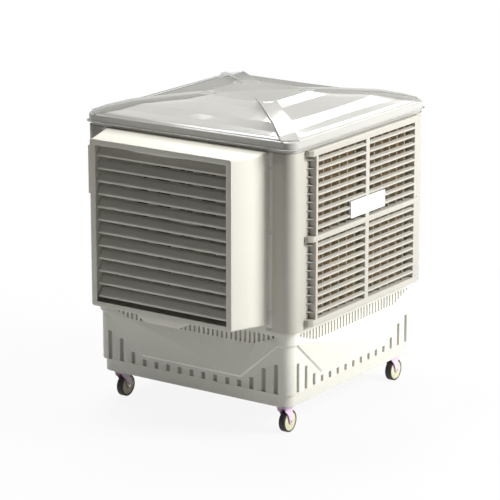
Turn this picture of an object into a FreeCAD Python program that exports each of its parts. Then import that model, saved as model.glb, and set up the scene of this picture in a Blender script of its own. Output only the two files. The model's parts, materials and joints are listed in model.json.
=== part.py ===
"""Mobile evaporative cooler: a water tank on castors, a case with three wetted pads,
and an axial fan that blows through a hood with turning louvres and swinging vanes.

Case frame, in millimetres: X across, Z up from the floor, -Y towards the air outlet,
with the case's upright axis at X = Y = 0. Every finished piece is then moved along Y by
outlet_shift, so that the origin lies on the floor under the middle of the whole object.
"""
import FreeCAD, Part
import Sketcher
import math
import os

doc = FreeCAD.newDocument("evaporative_cooler")
sheet = doc.addObject("Spreadsheet::Sheet", "Sizes")

SIZES = {
    # Castors
    "castor_inset": 64.0, "castor_trail": 28.0, "wheel_radius": 50.0, "wheel_width": 30.0,
    "hub_width": 34.0, "hub_boss": 13.0, "axle_radius": 5.0, "fork_inside": 37.0, "fork_wall": 3.0,
    "crown_radius": 28.0, "crown_room": 20.0, "race_radius": 26.0, "kingpin_radius": 6.0,
    "castor_plate_half": 42.0, "castor_plate_thick": 4.0, "swivel_height": 20.0,
    "pedal_width": 26.0, "pedal_reach": 92.0,
    # Tank
    "skirt_height": 56.5, "skirt_setback": 11.0, "tank_setback": 31.0, "apron_proud": 8.0,
    "lip_proud": 13.0, "lip_rise": 272.5, "lip_height": 20.0, "apron_corner_rise": 215.5,
    "apron_low_rise": 58.5, "apron_corner_inset": 46.0, "apron_slope_run": 206.0,
    "apron_bevel": 13.0, "tank_corner": 54.0, "tank_wall": 12.0, "tank_floor": 12.0,
    "slot_pitch": 64.3, "slot_width": 22.0, "slot_depth": 6.0, "slot_foot": 3.5,
    "slot_length": 31.0, "slot_length_5": 55.0, "slot_length_6": 107.0, "slot_length_7": 134.0,
    # Case
    "case_half": 550.0, "case_corner": 54.0, "case_wall": 4.0, "case_height": 790.0,
    "post_width": 99.0, "post_tab": 36.0, "joggle": 7.0, "base_inset": 95.0,
    "base_thick": 16.0, "panel_thick": 4.7,
    # Lid
    "lid_beam_inset": 5.0, "lid_beam_wall": 12.0, "lid_beam_height": 15.2, "lid_lip_proud": 10.0,
    "lid_lip_thick": 3.5, "lid_rim_proud": 2.0, "lid_rim_height": 33.0, "lid_wall": 5.0,
    "step_one_run": 90.0, "step_one_rise": 18.0, "terrace_run": 50.0, "terrace_rise": 38.0,
    "step_two_run": 165.0, "step_two_rise": 51.0, "plateau_run": 50.0, "plateau_rise": 65.0,
    "crown_half": 60.0, "crown_rise": 71.0, "lid_corner_cut": 0.09, "lid_rib_width": 80.0,
    "lid_rib_proud": 11.0,
    # Pads and their grilles
    "pad_overlap": 3.0, "pad_thick": 100.0, "pad_headroom": 18.3, "grille_proud": 35.0,
    "grille_margin": 38.0, "stile_width": 16.0, "mullion_width": 30.0, "grille_foot": 17.0,
    "low_bar_height": 28.0, "mid_bar_height": 25.0, "mid_bar_drop": 2.0, "top_bar_height": 24.0,
    "grille_lap": 2.0, "bar_front_inset": 18.0, "slat_drop": 28.0, "slat_foot": 26.0,
    "slat_lip": 8.5, "slat_depth": 16.0, "slat_back": 3.0, "slat_slope": 3.0,
    "rib_thick": 3.0, "rib_depth": 13.0, "plate_half": 140.0, "plate_rise": 20.0,
    "plate_height": 75.0, "plate_thick": 3.2,
    # Outlet hood, louvre frame and louvres
    "hood_side_inset": 20.0, "hood_taper": 57.0, "hood_foot": 25.0, "hood_end_taper": 7.0,
    "hood_reach": 194.0, "hood_wall": 4.0, "frame_lip": 6.0, "outlet_side": 28.0,
    "outlet_sill": 22.0, "outlet_head": 26.0, "sleeve_step": 6.0, "sleeve_wall": 4.0,
    "sleeve_sill": 7.0, "sleeve_head": 16.0, "sleeve_depth": 122.0, "louvre_count": 12.0,
    "louvre_tilt": 45.0, "louvre_head": 50.0, "louvre_sill": 19.0, "louvre_setback": 38.0,
    "louvre_front": 34.0, "louvre_back": 32.0, "louvre_thick": 3.0, "louvre_lip": 7.0,
    "louvre_end_room": 7.5, "pivot_radius": 3.0, "crank": 26.0, "crank_pin": 2.5,
    "tie_width": 10.0, "tie_thick": 4.0, "vane_pitch": 120.0, "vane_setback": 104.0,
    "vane_front": 22.0, "vane_back": 40.0, "vane_thick": 2.5, "vane_foot_room": 16.0,
    "vane_head_room": 4.0, "vane_crank": 30.0, "foot_thick": 3.0, "chin_top_half": 137.0,
    "chin_low_half": 89.0, "chin_drop": 2.0, "chin_depth": 148.0, "chin_rake": 9.0,
    "swing_half": 24.0, "swing_height": 23.0,
    # Fan
    "fan_bore": 338.0, "fan_ring_wall": 4.0, "fan_ring_depth": 165.0, "fan_flare": 27.0,
    "tip_gap": 12.0, "fan_hub": 60.0, "hub_setback": 30.0, "hub_depth": 80.0,
    "fan_blades": 5.0, "blade_thick": 4.0, "shaft_radius": 10.0, "shaft_show": 15.0,
    "motor_radius": 75.0, "motor_length": 150.0, "flange_width": 17.0, "bracket_thick": 6.0,
    "bracket_arm": 40.0, "guard_wire": 3.0, "guard_rings": 4.0,
    # Water parts
    "pump_inset": 110.0, "pump_radius": 45.0, "pump_height": 110.0, "stub_radius": 10.0,
    "riser_radius": 12.5, "header_radius": 9.0, "header_gap": 0.3, "inlet_radius": 10.5,
    "valve_y": 250.0, "valve_drop": 49.0, "float_radius": 36.0, "float_height": 60.0,
    "float_arm": 172.0, "drain_radius": 13.0, "drain_y": -300.0, "drain_rise": 30.0,
    # Control box on the left front post, and screws
    "control_depth": 28.0, "control_rise": 461.0, "control_height": 220.0, "control_width": 44.0,
    "knob_radius": 15.0, "gland_radius": 8.0, "screw_head": 5.5, "screw_shank": 2.2,
    "screw_inset": 10.0, "screw_head_room": 67.0, "screw_mid_rise": 26.5, "screw_foot_room": 85.0,
    # Clearances
    "gap": 0.3, "fit": 0.06,
}

Z_AXIS = FreeCAD.Vector(0, 0, 1)
CYLINDER_TURN = {
    "x": FreeCAD.Rotation(FreeCAD.Vector(0, 1, 0), 90),
    "y": FreeCAD.Rotation(FreeCAD.Vector(1, 0, 0), -90),
    "z": FreeCAD.Rotation(),
}
NODES = {}


class Dim:
    """A size that carries its spreadsheet formula beside its value."""

    def __init__(self, text, value):
        self.text = text
        self.value = value

    def __add__(self, other):
        return combine(self, "+", other, value_of(self) + value_of(other))

    def __radd__(self, other):
        return combine(other, "+", self, value_of(other) + value_of(self))

    def __sub__(self, other):
        return combine(self, "-", other, value_of(self) - value_of(other))

    def __rsub__(self, other):
        return combine(other, "-", self, value_of(other) - value_of(self))

    def __mul__(self, other):
        return combine(self, "*", other, value_of(self) * value_of(other))

    def __rmul__(self, other):
        return combine(other, "*", self, value_of(other) * value_of(self))

    def __truediv__(self, other):
        return combine(self, "/", other, value_of(self) / value_of(other))

    def __neg__(self):
        return Dim(f"(0 - {self.text})", -self.value)


def value_of(number):
    """The plain value of a size or number."""
    return number.value if isinstance(number, Dim) else float(number)


def text_of(number):
    """The formula of a size, or a number in brackets."""
    return number.text if isinstance(number, Dim) else f"({float(number):.6f})"


def combine(left, sign, right, value):
    """One size made of two others."""
    return Dim(f"({text_of(left)} {sign} {text_of(right)})", value)


def sine(angle):
    return Dim(f"sin({text_of(angle)})", math.sin(math.radians(value_of(angle))))


def cosine(angle):
    return Dim(f"cos({text_of(angle)})", math.cos(math.radians(value_of(angle))))


class Sizes:
    """Named sizes, one attribute for each cell of the sheet."""


size = Sizes()
for row, (alias, number) in enumerate(SIZES.items(), 1):
    sheet.set(f"A{row}", alias)
    sheet.set(f"B{row}", str(number))
    sheet.setAlias(f"B{row}", alias)
    setattr(size, alias, Dim(f"Sizes.{alias}", float(number)))
doc.recompute()

# Places that follow from the sizes above: castors and tank

size.tank_half = size.case_half - size.tank_setback
size.skirt_half = size.tank_half - size.skirt_setback
size.apron_half = size.tank_half + size.apron_proud
size.lip_half = size.tank_half + size.lip_proud
size.castor_spread = size.skirt_half - size.castor_inset
size.tank_base = 2 * size.wheel_radius + size.crown_room + size.swivel_height
size.skirt_top = size.tank_base + size.skirt_height
size.lip_bottom = size.skirt_top + size.lip_rise
size.tank_top = size.lip_bottom + size.lip_height
size.apron_corner_bottom = size.skirt_top + size.apron_corner_rise
size.apron_low_bottom = size.skirt_top + size.apron_low_rise
size.apron_corner_half = size.tank_half - size.apron_corner_inset
size.apron_low_half = size.apron_corner_half - size.apron_slope_run
size.slot_bottom = size.skirt_top + size.slot_foot

# Case and lid

size.case_top = size.tank_top + size.case_height
size.post_edge = size.case_half - size.post_width
size.base_inner_half = size.case_half - size.base_inset
size.lid_beam_half = size.case_half - size.lid_beam_inset
size.lid_lip_half = size.case_half + size.lid_lip_proud
size.lid_rim_half = size.case_half + size.lid_rim_proud
size.step_one_half = size.lid_beam_half - size.step_one_run
size.terrace_half = size.step_one_half - size.terrace_run
size.step_two_half = size.terrace_half - size.step_two_run
size.plateau_half = size.step_two_half - size.plateau_run

# Pads and grilles

size.grille_front = size.case_half + size.grille_proud
size.grille_half = size.post_edge - size.grille_margin
size.opening_half = size.grille_half - size.stile_width
size.pad_half = size.opening_half + size.pad_overlap
size.pad_top = size.case_top - size.pad_headroom
size.grille_bottom = size.tank_top + size.grille_foot
size.grille_top = size.case_top + size.grille_lap
size.low_bar_top = size.grille_bottom + size.low_bar_height
size.top_bar_bottom = size.case_top - size.top_bar_height
size.mid_bar_bottom = ((size.low_bar_top + size.top_bar_bottom) / 2 - size.mid_bar_height / 2
                       - size.mid_bar_drop)
size.mid_bar_top = size.mid_bar_bottom + size.mid_bar_height
size.slat_pitch = (size.top_bar_bottom - size.mid_bar_top - size.slat_drop - size.slat_foot) / 8
size.bar_front_half = size.post_edge - size.bar_front_inset
size.bar_shoulder = size.post_edge - size.grille_lap
size.plate_bottom = size.mid_bar_top + size.plate_rise

# Outlet

size.hood_front = size.case_half + size.hood_reach
size.hood_back_half = size.post_edge - size.hood_side_inset
size.hood_front_half = size.hood_back_half - size.hood_taper
size.hood_back_low = size.tank_top + size.hood_foot
size.hood_back_high = size.case_top
size.hood_front_low = size.hood_back_low + size.hood_end_taper
size.hood_front_high = size.hood_back_high - size.hood_end_taper
size.outlet_half = size.hood_front_half - size.outlet_side
size.outlet_low = size.hood_front_low + size.outlet_sill
size.outlet_high = size.hood_front_high - size.outlet_head
size.sleeve_half = size.outlet_half + size.sleeve_step
size.sleeve_low = size.outlet_low - size.sleeve_sill
size.sleeve_high = size.outlet_high + size.sleeve_head
size.sleeve_back = size.hood_front - size.sleeve_depth
size.louvre_half = size.sleeve_half - size.louvre_end_room
size.louvre_axis = size.hood_front - size.louvre_setback
size.louvre_tip = size.outlet_high - size.louvre_head
size.louvre_pitch = (size.louvre_tip - size.outlet_low - size.louvre_sill) / (size.louvre_count - 1)
size.vane_axis = size.hood_front - size.vane_setback
size.vane_low = size.sleeve_low + size.vane_foot_room
size.vane_high = size.sleeve_high - size.vane_head_room
size.chin_low = size.tank_top - size.chin_drop
size.chin_back = size.hood_front - size.chin_depth

# Fan

size.fan_height = (size.hood_back_low + size.hood_back_high) / 2
size.fan_tip = size.fan_bore - size.tip_gap
size.fan_ring_back = size.case_half - size.fan_ring_depth
size.hub_front = size.case_half - size.hub_setback
size.hub_back = size.hub_front - size.hub_depth
size.motor_front = size.hub_back - size.shaft_show
size.motor_back = size.motor_front - size.motor_length
size.motor_flange = size.motor_radius + size.flange_width

# Water parts, control box and screws

size.pump_place = size.case_half - size.pump_inset
size.valve_height = size.tank_top - size.valve_drop
size.drain_height = size.tank_base + size.drain_rise
size.control_front = size.case_half + size.control_depth
size.control_low = size.tank_top + size.control_rise
size.control_edge = size.post_edge + size.control_width
size.screw_x = size.post_edge - size.screw_inset
size.screw_high = size.case_top - size.screw_head_room
size.screw_mid = size.fan_height + size.screw_mid_rise
size.screw_low = size.tank_top + size.screw_foot_room

OUTLET_SHIFT = (size.hood_front - size.grille_front) / 2
SIDE_REACH = size.grille_front + size.plate_thick


def bind(thing, **lengths):
    """Tie properties to formulas; a double underscore in a name stands for a dot."""
    for name, length in lengths.items():
        thing.setExpression(name.replace("__", "."), text_of(length))


def finish(solid, node, turn=0, at=(0, 0, 0)):
    """Name a finished piece, turn it about the upright axis and set it in its place."""
    solid.Label = node
    solid.Placement.Rotation = FreeCAD.Rotation(Z_AXIS, turn)
    bind(solid, Placement__Base__x=at[0], Placement__Base__y=at[1] + OUTLET_SHIFT,
         Placement__Base__z=at[2])
    NODES[node] = solid
    return solid


# Plain solids and the joins between them

def block(name, x, y, z):
    """A box between three (low, high) pairs."""
    box = doc.addObject("Part::Box", name)
    bind(box, Length=x[1] - x[0], Width=y[1] - y[0], Height=z[1] - z[0],
         Placement__Base__x=x[0], Placement__Base__y=y[0], Placement__Base__z=z[0])
    return box


def rod(name, radius, axis, start, length):
    """A cylinder that starts at a point and runs along x, y or z."""
    cylinder = doc.addObject("Part::Cylinder", name)
    cylinder.Placement.Rotation = CYLINDER_TURN[axis]
    bind(cylinder, Radius=radius, Height=length, Placement__Base__x=start[0],
         Placement__Base__y=start[1], Placement__Base__z=start[2])
    return cylinder


def hexagon(name, radius, axis, start, length):
    """A six-sided nut that starts at a point and runs along x, y or z."""
    nut = doc.addObject("Part::Prism", name)
    nut.Polygon = 6
    nut.Placement.Rotation = CYLINDER_TURN[axis]
    bind(nut, Circumradius=radius, Height=length, Placement__Base__x=start[0],
         Placement__Base__y=start[1], Placement__Base__z=start[2])
    return nut


def join(name, *solids):
    """One solid from several that meet."""
    fused = doc.addObject("Part::MultiFuse", name)
    fused.Shapes = list(solids)
    fused.Refine = True
    return fused


def cut(name, base, *tools):
    """A solid less one or more others."""
    tool = tools[0] if len(tools) == 1 else join(name + "_tools", *tools)
    less = doc.addObject("Part::Cut", name)
    less.Base = base
    less.Tool = tool
    less.Refine = True
    return less


def group(name, *solids):
    """Several solids that stay apart under one name."""
    compound = doc.addObject("Part::Compound", name)
    compound.Links = list(solids)
    return compound


# Outlines in a sketch

def pin_points(sketch, places):
    """Fix points of a sketch by their coordinates: (geometry, vertex, x, y) for each."""
    ties = [(kind, geometry, vertex, length) for geometry, vertex, x, y in places
            for kind, length in (("DistanceX", x), ("DistanceY", y))]
    start = sketch.ConstraintCount
    sketch.addConstraint([Sketcher.Constraint(kind, -1, 1, geometry, vertex, value_of(length))
                          for kind, geometry, vertex, length in ties])
    for index, (kind, geometry, vertex, length) in enumerate(ties, start):
        sketch.setExpression(f"Constraints[{index}]", text_of(length))


def polygon(sketch, points):
    """A closed outline with straight sides."""
    first = sketch.GeometryCount
    count = len(points)
    corners = [FreeCAD.Vector(value_of(x), value_of(y), 0) for x, y in points]
    sketch.addGeometry([Part.LineSegment(corners[k], corners[(k + 1) % count]) for k in range(count)])
    sketch.addConstraint([Sketcher.Constraint("Coincident", first + k, 2, first + (k + 1) % count, 1)
                          for k in range(count)])
    pin_points(sketch, [(first + k, 1, x, y) for k, (x, y) in enumerate(points)])


def rectangle(sketch, x, y):
    """A rectangle between two (low, high) pairs."""
    polygon(sketch, [(x[0], y[0]), (x[1], y[0]), (x[1], y[1]), (x[0], y[1])])


def circle(sketch, x, y, radius):
    """A circle about a point."""
    centre = FreeCAD.Vector(value_of(x), value_of(y), 0)
    index = sketch.addGeometry(Part.Circle(centre, Z_AXIS, value_of(radius)))
    pin_points(sketch, [(index, 3, x, y)])
    radius_index = sketch.addConstraint(Sketcher.Constraint("Radius", index, value_of(radius)))
    sketch.setExpression(f"Constraints[{radius_index}]", text_of(radius))


def rounded(sketch, x, y, radius):
    """A rectangle with round corners between two (low, high) pairs."""
    centres = [(x[0] + radius, y[0] + radius), (x[1] - radius, y[0] + radius),
               (x[1] - radius, y[1] - radius), (x[0] + radius, y[1] - radius)]
    first = sketch.GeometryCount
    arcs = []
    for corner, (centre_x, centre_y) in enumerate(centres):
        centre = FreeCAD.Vector(value_of(centre_x), value_of(centre_y), 0)
        start = math.pi + corner * math.pi / 2
        ring = Part.Circle(centre, Z_AXIS, value_of(radius))
        arcs.append(Part.ArcOfCircle(ring, start, start + math.pi / 2))
        sketch.addGeometry(arcs[-1])
    for corner in range(4):
        sketch.addGeometry(Part.LineSegment(arcs[corner].EndPoint, arcs[(corner + 1) % 4].StartPoint))
    for corner, (centre_x, centre_y) in enumerate(centres):
        arc = first + corner
        line = first + 4 + corner
        following = first + (corner + 1) % 4
        sketch.addConstraint(Sketcher.Constraint("Tangent", arc, 2, line, 1))
        sketch.addConstraint(Sketcher.Constraint("Tangent", line, 2, following, 1))
        pin_points(sketch, [(arc, 3, centre_x, centre_y)])
        index = sketch.addConstraint(Sketcher.Constraint("Radius", arc, value_of(radius)))
        sketch.setExpression(f"Constraints[{index}]", text_of(radius))


def square(sketch, half, radius):
    """A square with round corners about the middle of a sketch."""
    rounded(sketch, (-half, half), (-half, half), radius)


class Piece:
    """A body built up from sketches, step by step."""

    def __init__(self, name):
        self.body = doc.addObject("PartDesign::Body", name)
        self.origin = {feature.Role: feature for feature in self.body.Origin.OriginFeatures}

    def sketch(self, plane, distance=0, across=0, up=0, turn=0):
        """A sketch on XY, XZ or YZ, at a distance along that plane's normal.

        The normals are +Z, -Y and +X. The middle of the sketch can be moved across and up,
        and the sketch can be turned about its own upright axis.
        """
        sketch = self.body.newObject("Sketcher::SketchObject", self.body.Name + "_sketch")
        sketch.AttachmentSupport = (self.origin[plane + "_Plane"], "")
        sketch.MapMode = "FlatFace"
        sketch.AttachmentOffset = FreeCAD.Placement(
            FreeCAD.Vector(), FreeCAD.Rotation(FreeCAD.Vector(0, 1, 0), turn))
        bind(sketch, AttachmentOffset__Base__x=across, AttachmentOffset__Base__y=up,
             AttachmentOffset__Base__z=distance)
        return sketch

    def feature(self, kind, sketch, **lengths):
        made = self.body.newObject("PartDesign::" + kind, self.body.Name + "_" + kind.lower())
        made.Profile = sketch
        bind(made, **lengths)
        self.body.Tip = made
        return made

    def pad(self, sketch, length, both_ways=False, backwards=False):
        """Add the outline's prism, along the sketch's normal unless told otherwise."""
        made = self.feature("Pad", sketch, Length=length)
        made.SideType = "Symmetric" if both_ways else "One side"
        made.Reversed = backwards
        return made

    def pocket(self, sketch, depth, both_ways=False, backwards=False):
        """Cut the outline's prism, against the sketch's normal unless told otherwise."""
        made = self.feature("Pocket", sketch, Length=depth)
        made.SideType = "Symmetric" if both_ways else "One side"
        made.Reversed = backwards
        return made

    def loft(self, sketches, hollow=False):
        """Add, or cut, the straight-sided form through several outlines."""
        kind = "SubtractiveLoft" if hollow else "AdditiveLoft"
        made = self.feature(kind, sketches[0])
        made.Sections = sketches[1:]
        made.Ruled = True
        return made

    def revolve(self, sketch, axis="H_Axis"):
        """Spin the outline about one of its sketch's axes."""
        made = self.feature("Revolution", sketch)
        made.ReferenceAxis = (sketch, [axis])
        made.Angle = 360
        return made

    def around(self, features, count, axis="Z_Axis"):
        """Repeat features about one of the body's axes."""
        made = self.body.newObject("PartDesign::PolarPattern", self.body.Name + "_around")
        made.Originals = features
        made.Axis = (self.origin[axis], [""])
        made.Angle = 360
        made.Occurrences = count
        self.body.Tip = made
        return made

    def along(self, features, axis, length, count):
        """Repeat features in a row, over a length along one of the body's axes."""
        made = self.body.newObject("PartDesign::LinearPattern", self.body.Name + "_along")
        made.Originals = features
        made.Direction = (self.origin[axis], [""])
        bind(made, Length=length)
        made.Occurrences = count
        self.body.Tip = made
        return made


def slot_tops(step):
    """Slots rise towards the corners, where the apron above them climbs."""
    lengths = {5: size.slot_length_5, 6: size.slot_length_6, 7: size.slot_length_7}
    return size.slot_bottom + lengths.get(abs(step), size.slot_length)


def water_tank():
    """Moulded tank: skirt, slotted wall under a bevelled apron, rolled lip, open top."""
    piece = Piece("tank")

    def level(height, half):
        sketch = piece.sketch("XY", height)
        square(sketch, half, size.tank_corner)
        return sketch

    ring_top = size.apron_corner_bottom + size.apron_bevel
    piece.pad(level(size.tank_base, size.skirt_half), size.skirt_top - size.tank_base)
    piece.pad(level(size.skirt_top, size.tank_half), size.lip_bottom - size.skirt_top)
    piece.loft([level(size.apron_corner_bottom, size.tank_half), level(ring_top, size.apron_half)])
    piece.pad(level(ring_top, size.apron_half), size.lip_bottom - ring_top)
    piece.pad(level(size.lip_bottom, size.lip_half), size.tank_top - size.lip_bottom)

    def apron(distance, rise):
        sketch = piece.sketch("XZ", distance)
        wide, narrow = size.apron_corner_half, size.apron_low_half
        low, high = size.apron_low_bottom + rise, size.apron_corner_bottom + rise
        polygon(sketch, [(-narrow, low), (narrow, low), (wide, high), (wide, size.lip_bottom),
                         (-wide, size.lip_bottom), (-wide, high)])
        return sketch

    plate = piece.loft([apron(size.tank_half, 0), apron(size.apron_half, size.apron_bevel)])
    slots = piece.sketch("XZ", size.tank_half)
    for step in range(-7, 8):
        middle = size.slot_pitch * step
        rectangle(slots, (middle - size.slot_width / 2, middle + size.slot_width / 2),
                  (size.slot_bottom, slot_tops(step)))
    piece.around([plate, piece.pocket(slots, size.slot_depth)], 4)

    inside_corner = size.tank_corner - size.tank_wall
    upper = piece.sketch("XY", size.tank_top)
    square(upper, size.tank_half - size.tank_wall, inside_corner)
    piece.pocket(upper, size.tank_top - size.skirt_top - size.tank_wall)
    lower = piece.sketch("XY", size.tank_top)
    square(lower, size.skirt_half - size.tank_wall, inside_corner)
    piece.pocket(lower, size.tank_top - size.tank_base - size.tank_floor)
    inlet = piece.sketch("YZ", -size.lip_half)
    circle(inlet, size.valve_y, size.valve_height, size.inlet_radius + size.gap)
    piece.pocket(inlet, size.lip_half / 2, backwards=True)
    drain = piece.sketch("YZ", -size.lip_half)
    circle(drain, size.drain_y, size.drain_height, size.drain_radius + size.gap)
    piece.pocket(drain, size.lip_half / 2, backwards=True)
    return finish(piece.body, "water_tank")


def base_frame():
    """Square ring that closes the tank's rim and carries the posts and pads."""
    piece = Piece("base")
    outer = piece.sketch("XY", size.tank_top + size.gap)
    half = size.case_half - size.joggle - size.case_wall - size.gap
    square(outer, half, size.case_corner - size.joggle - size.case_wall)
    rectangle(outer, (-size.base_inner_half, size.base_inner_half),
              (-size.base_inner_half, size.base_inner_half))
    piece.pad(outer, size.base_thick)
    return finish(piece.body, "base_frame")


def upright_edges(shape, x, y):
    """Names of a shape's edges that stand upright at one point in plan."""
    names = []
    for number, edge in enumerate(shape.Edges, 1):
        spots = [vertex.Point for vertex in edge.Vertexes]
        near = all(math.hypot(p.x - value_of(x), p.y - value_of(y)) < 0.01 for p in spots)
        if near and len(spots) == 2:
            names.append(f"Edge{number}")
    return names


def corner_post(name, turn):
    """Angle post with a round corner and a set-back tab along each edge for the panels."""
    piece = Piece(name)
    low = size.tank_top + size.gap
    face, wall, edge = size.case_half, size.case_wall, size.post_edge
    tab, tip = face - size.joggle, edge - size.post_tab
    sketch = piece.sketch("XY", low)
    polygon(sketch, [
        (tip, -tab), (edge, -tab), (edge, -face), (face, -face), (face, -edge), (tab, -edge),
        (tab, -tip), (tab - wall, -tip), (tab - wall, -(edge + wall)), (face - wall, -(edge + wall)),
        (face - wall, wall - face), (edge + wall, wall - face), (edge + wall, wall - tab),
        (tip, wall - tab)])
    post = piece.pad(sketch, size.case_top - low)
    doc.recompute()
    for spot, radius in ((face, size.case_corner), (face - wall, size.case_corner - size.case_wall)):
        base = piece.body.Tip
        round_off = piece.body.newObject("PartDesign::Fillet", name + "_round")
        round_off.Base = (base, upright_edges(base.Shape, spot, -spot))
        bind(round_off, Radius=radius)
        piece.body.Tip = round_off
        doc.recompute()
    piece.body.Placement.Rotation = FreeCAD.Rotation(Z_AXIS, turn)
    return piece.body


def corner_posts():
    """The four posts, alike but turned."""
    posts = [corner_post(f"post_{k + 1}", 90 * k) for k in range(4)]
    return finish(group("posts", *posts), "corner_posts")


def lid():
    """Hollow lid: beam, drip lip, rim, stepped dome and four diagonal ribs."""
    piece = Piece("lid")
    lip_low = size.case_top + size.gap + size.lid_beam_height
    rim_low = lip_low + size.lid_lip_thick
    rim_top = rim_low + size.lid_rim_height
    levels = [(size.lid_beam_half, 0), (size.step_one_half, size.step_one_rise),
              (size.terrace_half, size.terrace_rise), (size.step_two_half, size.step_two_rise),
              (size.plateau_half, size.plateau_rise), (size.crown_half, size.crown_rise)]

    def level(height, half, corner=size.case_corner):
        sketch = piece.sketch("XY", height)
        square(sketch, half, corner)
        return sketch

    piece.pad(level(size.case_top + size.gap, size.lid_beam_half), size.lid_beam_height)
    piece.pad(level(lip_low, size.lid_lip_half), size.lid_lip_thick)
    piece.pad(level(rim_low, size.lid_rim_half), size.lid_rim_height)
    corner = size.case_corner / 2

    def flat_level(height, half):
        sketch = piece.sketch("XY", height)
        side = half * (1 - size.lid_corner_cut)
        polygon(sketch, [(-side, -half), (side, -half), (half, -side), (half, side),
                         (side, half), (-side, half), (-half, side), (-half, -side)])
        return sketch

    piece.loft([flat_level(rim_top + rise, half) for half, rise in levels])
    rib = piece.sketch("XZ", turn=45)
    reach = (size.lid_rim_half - size.case_corner) * math.sqrt(2) + size.case_corner
    low = [(reach - 2, rim_top - 4)]
    high = [(reach - 2, rim_top + size.lid_rib_proud)]
    for half, rise in levels[1:5]:
        spot = (half - corner) * math.sqrt(2) + corner
        low.append((spot - 4, rim_top + rise - 3))
        high.append((spot, rim_top + rise + size.lid_rib_proud))
    end = (size.plateau_half - 60) * math.sqrt(2)
    low.append((end, rim_top + size.plateau_rise - 3))
    high[-1] = (high[-1][0], rim_top + size.plateau_rise + 5)
    high.append((end, rim_top + size.plateau_rise + 3))
    polygon(rib, high + low[::-1])
    band = piece.pad(rib, size.lid_rib_width, both_ways=True)
    piece.around([band], 4)
    inside = size.lid_wall
    piece.pocket(level(rim_low + size.lid_rim_height - inside, size.lid_beam_half - size.lid_beam_wall,
                       corner), size.lid_rim_height + size.lid_beam_height + size.lid_lip_thick)
    piece.loft([flat_level(rim_top + rise - inside, half - 4 * inside)
                for half, rise in (levels[0], levels[2], levels[4])], hollow=True)
    return finish(piece.body, "lid")


def cooling_pad(name, turn):
    """Corrugated paper pad, kept as its plain block."""
    piece = Piece(name)
    front = size.case_half - size.joggle
    low = size.tank_top + size.gap + size.base_thick + size.gap
    sketch = piece.sketch("XY", low)
    rectangle(sketch, (front - size.pad_thick, front), (-size.pad_half, size.pad_half))
    piece.pad(sketch, size.pad_top - low)
    return finish(piece.body, name, turn)


def pad_grille(name, turn):
    """Louvred grille: flange, raised frame, three wrapping bars, mullion, slats and ribs."""
    piece = Piece(name)
    back = size.case_half - size.joggle + size.gap
    base = size.case_half - 2
    flange_half = size.post_edge - size.gap
    front = size.grille_front
    flange = piece.sketch("YZ", back)
    rectangle(flange, (-flange_half, flange_half), (size.grille_bottom, size.case_top))
    piece.pad(flange, base - back)
    frame = piece.sketch("YZ", back)
    rectangle(frame, (-size.grille_half, size.grille_half), (size.grille_bottom, size.case_top))
    piece.pad(frame, front - back)
    bars = [(size.grille_bottom, size.low_bar_top), (size.mid_bar_bottom, size.mid_bar_top),
            (size.top_bar_bottom, size.grille_top)]
    for low, high in bars:
        bar = piece.sketch("XY", low)
        polygon(bar, [(base - 1, -flange_half), (front - 18, -size.bar_shoulder),
                      (front, -size.bar_front_half), (front, size.bar_front_half),
                      (front - 18, size.bar_shoulder), (base - 1, flange_half)])
        piece.pad(bar, high - low)
    holes = piece.sketch("YZ", back)
    mullion = size.mullion_width / 2
    windows = [(size.low_bar_top, size.mid_bar_bottom), (size.mid_bar_top, size.top_bar_bottom)]
    for low, high in windows:
        rectangle(holes, (-size.opening_half, -mullion), (low, high))
        rectangle(holes, (mullion, size.opening_half), (low, high))
    piece.pocket(holes, front, backwards=True)
    slats = piece.sketch("XZ")
    for low, high in windows:
        for step in range(9):
            lip = high - size.slat_drop - size.slat_pitch * step
            rear = lip + size.slat_lip + size.slat_slope
            polygon(slats, [(front, lip), (front, lip + size.slat_lip), (front - size.slat_depth, rear),
                            (front - size.slat_depth, rear - size.slat_back)])
    piece.pad(slats, 2 * size.opening_half + 2, both_ways=True)
    ribs = piece.sketch("XY", size.low_bar_top - 1)
    cell = (size.opening_half - mullion) / 6
    rib_front = front - size.slat_depth - 1.5
    for side in (-1, 1):
        for step in range(1, 6):
            middle = side * (mullion + cell * step)
            rectangle(ribs, (rib_front - size.rib_depth, rib_front),
                      (middle - size.rib_thick / 2, middle + size.rib_thick / 2))
    piece.pad(ribs, size.top_bar_bottom - size.low_bar_top + 2)
    return finish(piece.body, name, turn)


def name_plate():
    """Bare plate that lies on the slats of the right grille."""
    piece = Piece("plate")
    sketch = piece.sketch("YZ", size.grille_front + size.gap)
    rounded(sketch, (-size.plate_half, size.plate_half),
            (size.plate_bottom, size.plate_bottom + size.plate_height), 6)
    piece.pad(sketch, size.plate_thick - size.gap)
    return finish(piece.body, "name_plate")


def front_panel():
    """Flat front panel with the fan's hole and its screw holes."""
    piece = Piece("front")
    back = size.case_half - size.joggle + size.gap
    half = size.post_edge - size.gap
    sketch = piece.sketch("XZ", back)
    low = size.tank_top + size.base_thick + 2 * size.gap
    rectangle(sketch, (-half, half), (low, size.case_top))
    circle(sketch, 0, size.fan_height, size.fan_bore)
    for side in (-1, 1):
        for height in (size.screw_high, size.screw_mid, size.screw_low):
            circle(sketch, size.screw_x * side, height, size.screw_shank + size.gap)
    piece.pad(sketch, size.panel_thick)
    return finish(piece.body, "front_panel")


def panel_face():
    """Distance from the case's axis to the front of the front panel."""
    return size.case_half - size.joggle + size.gap + size.panel_thick


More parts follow.
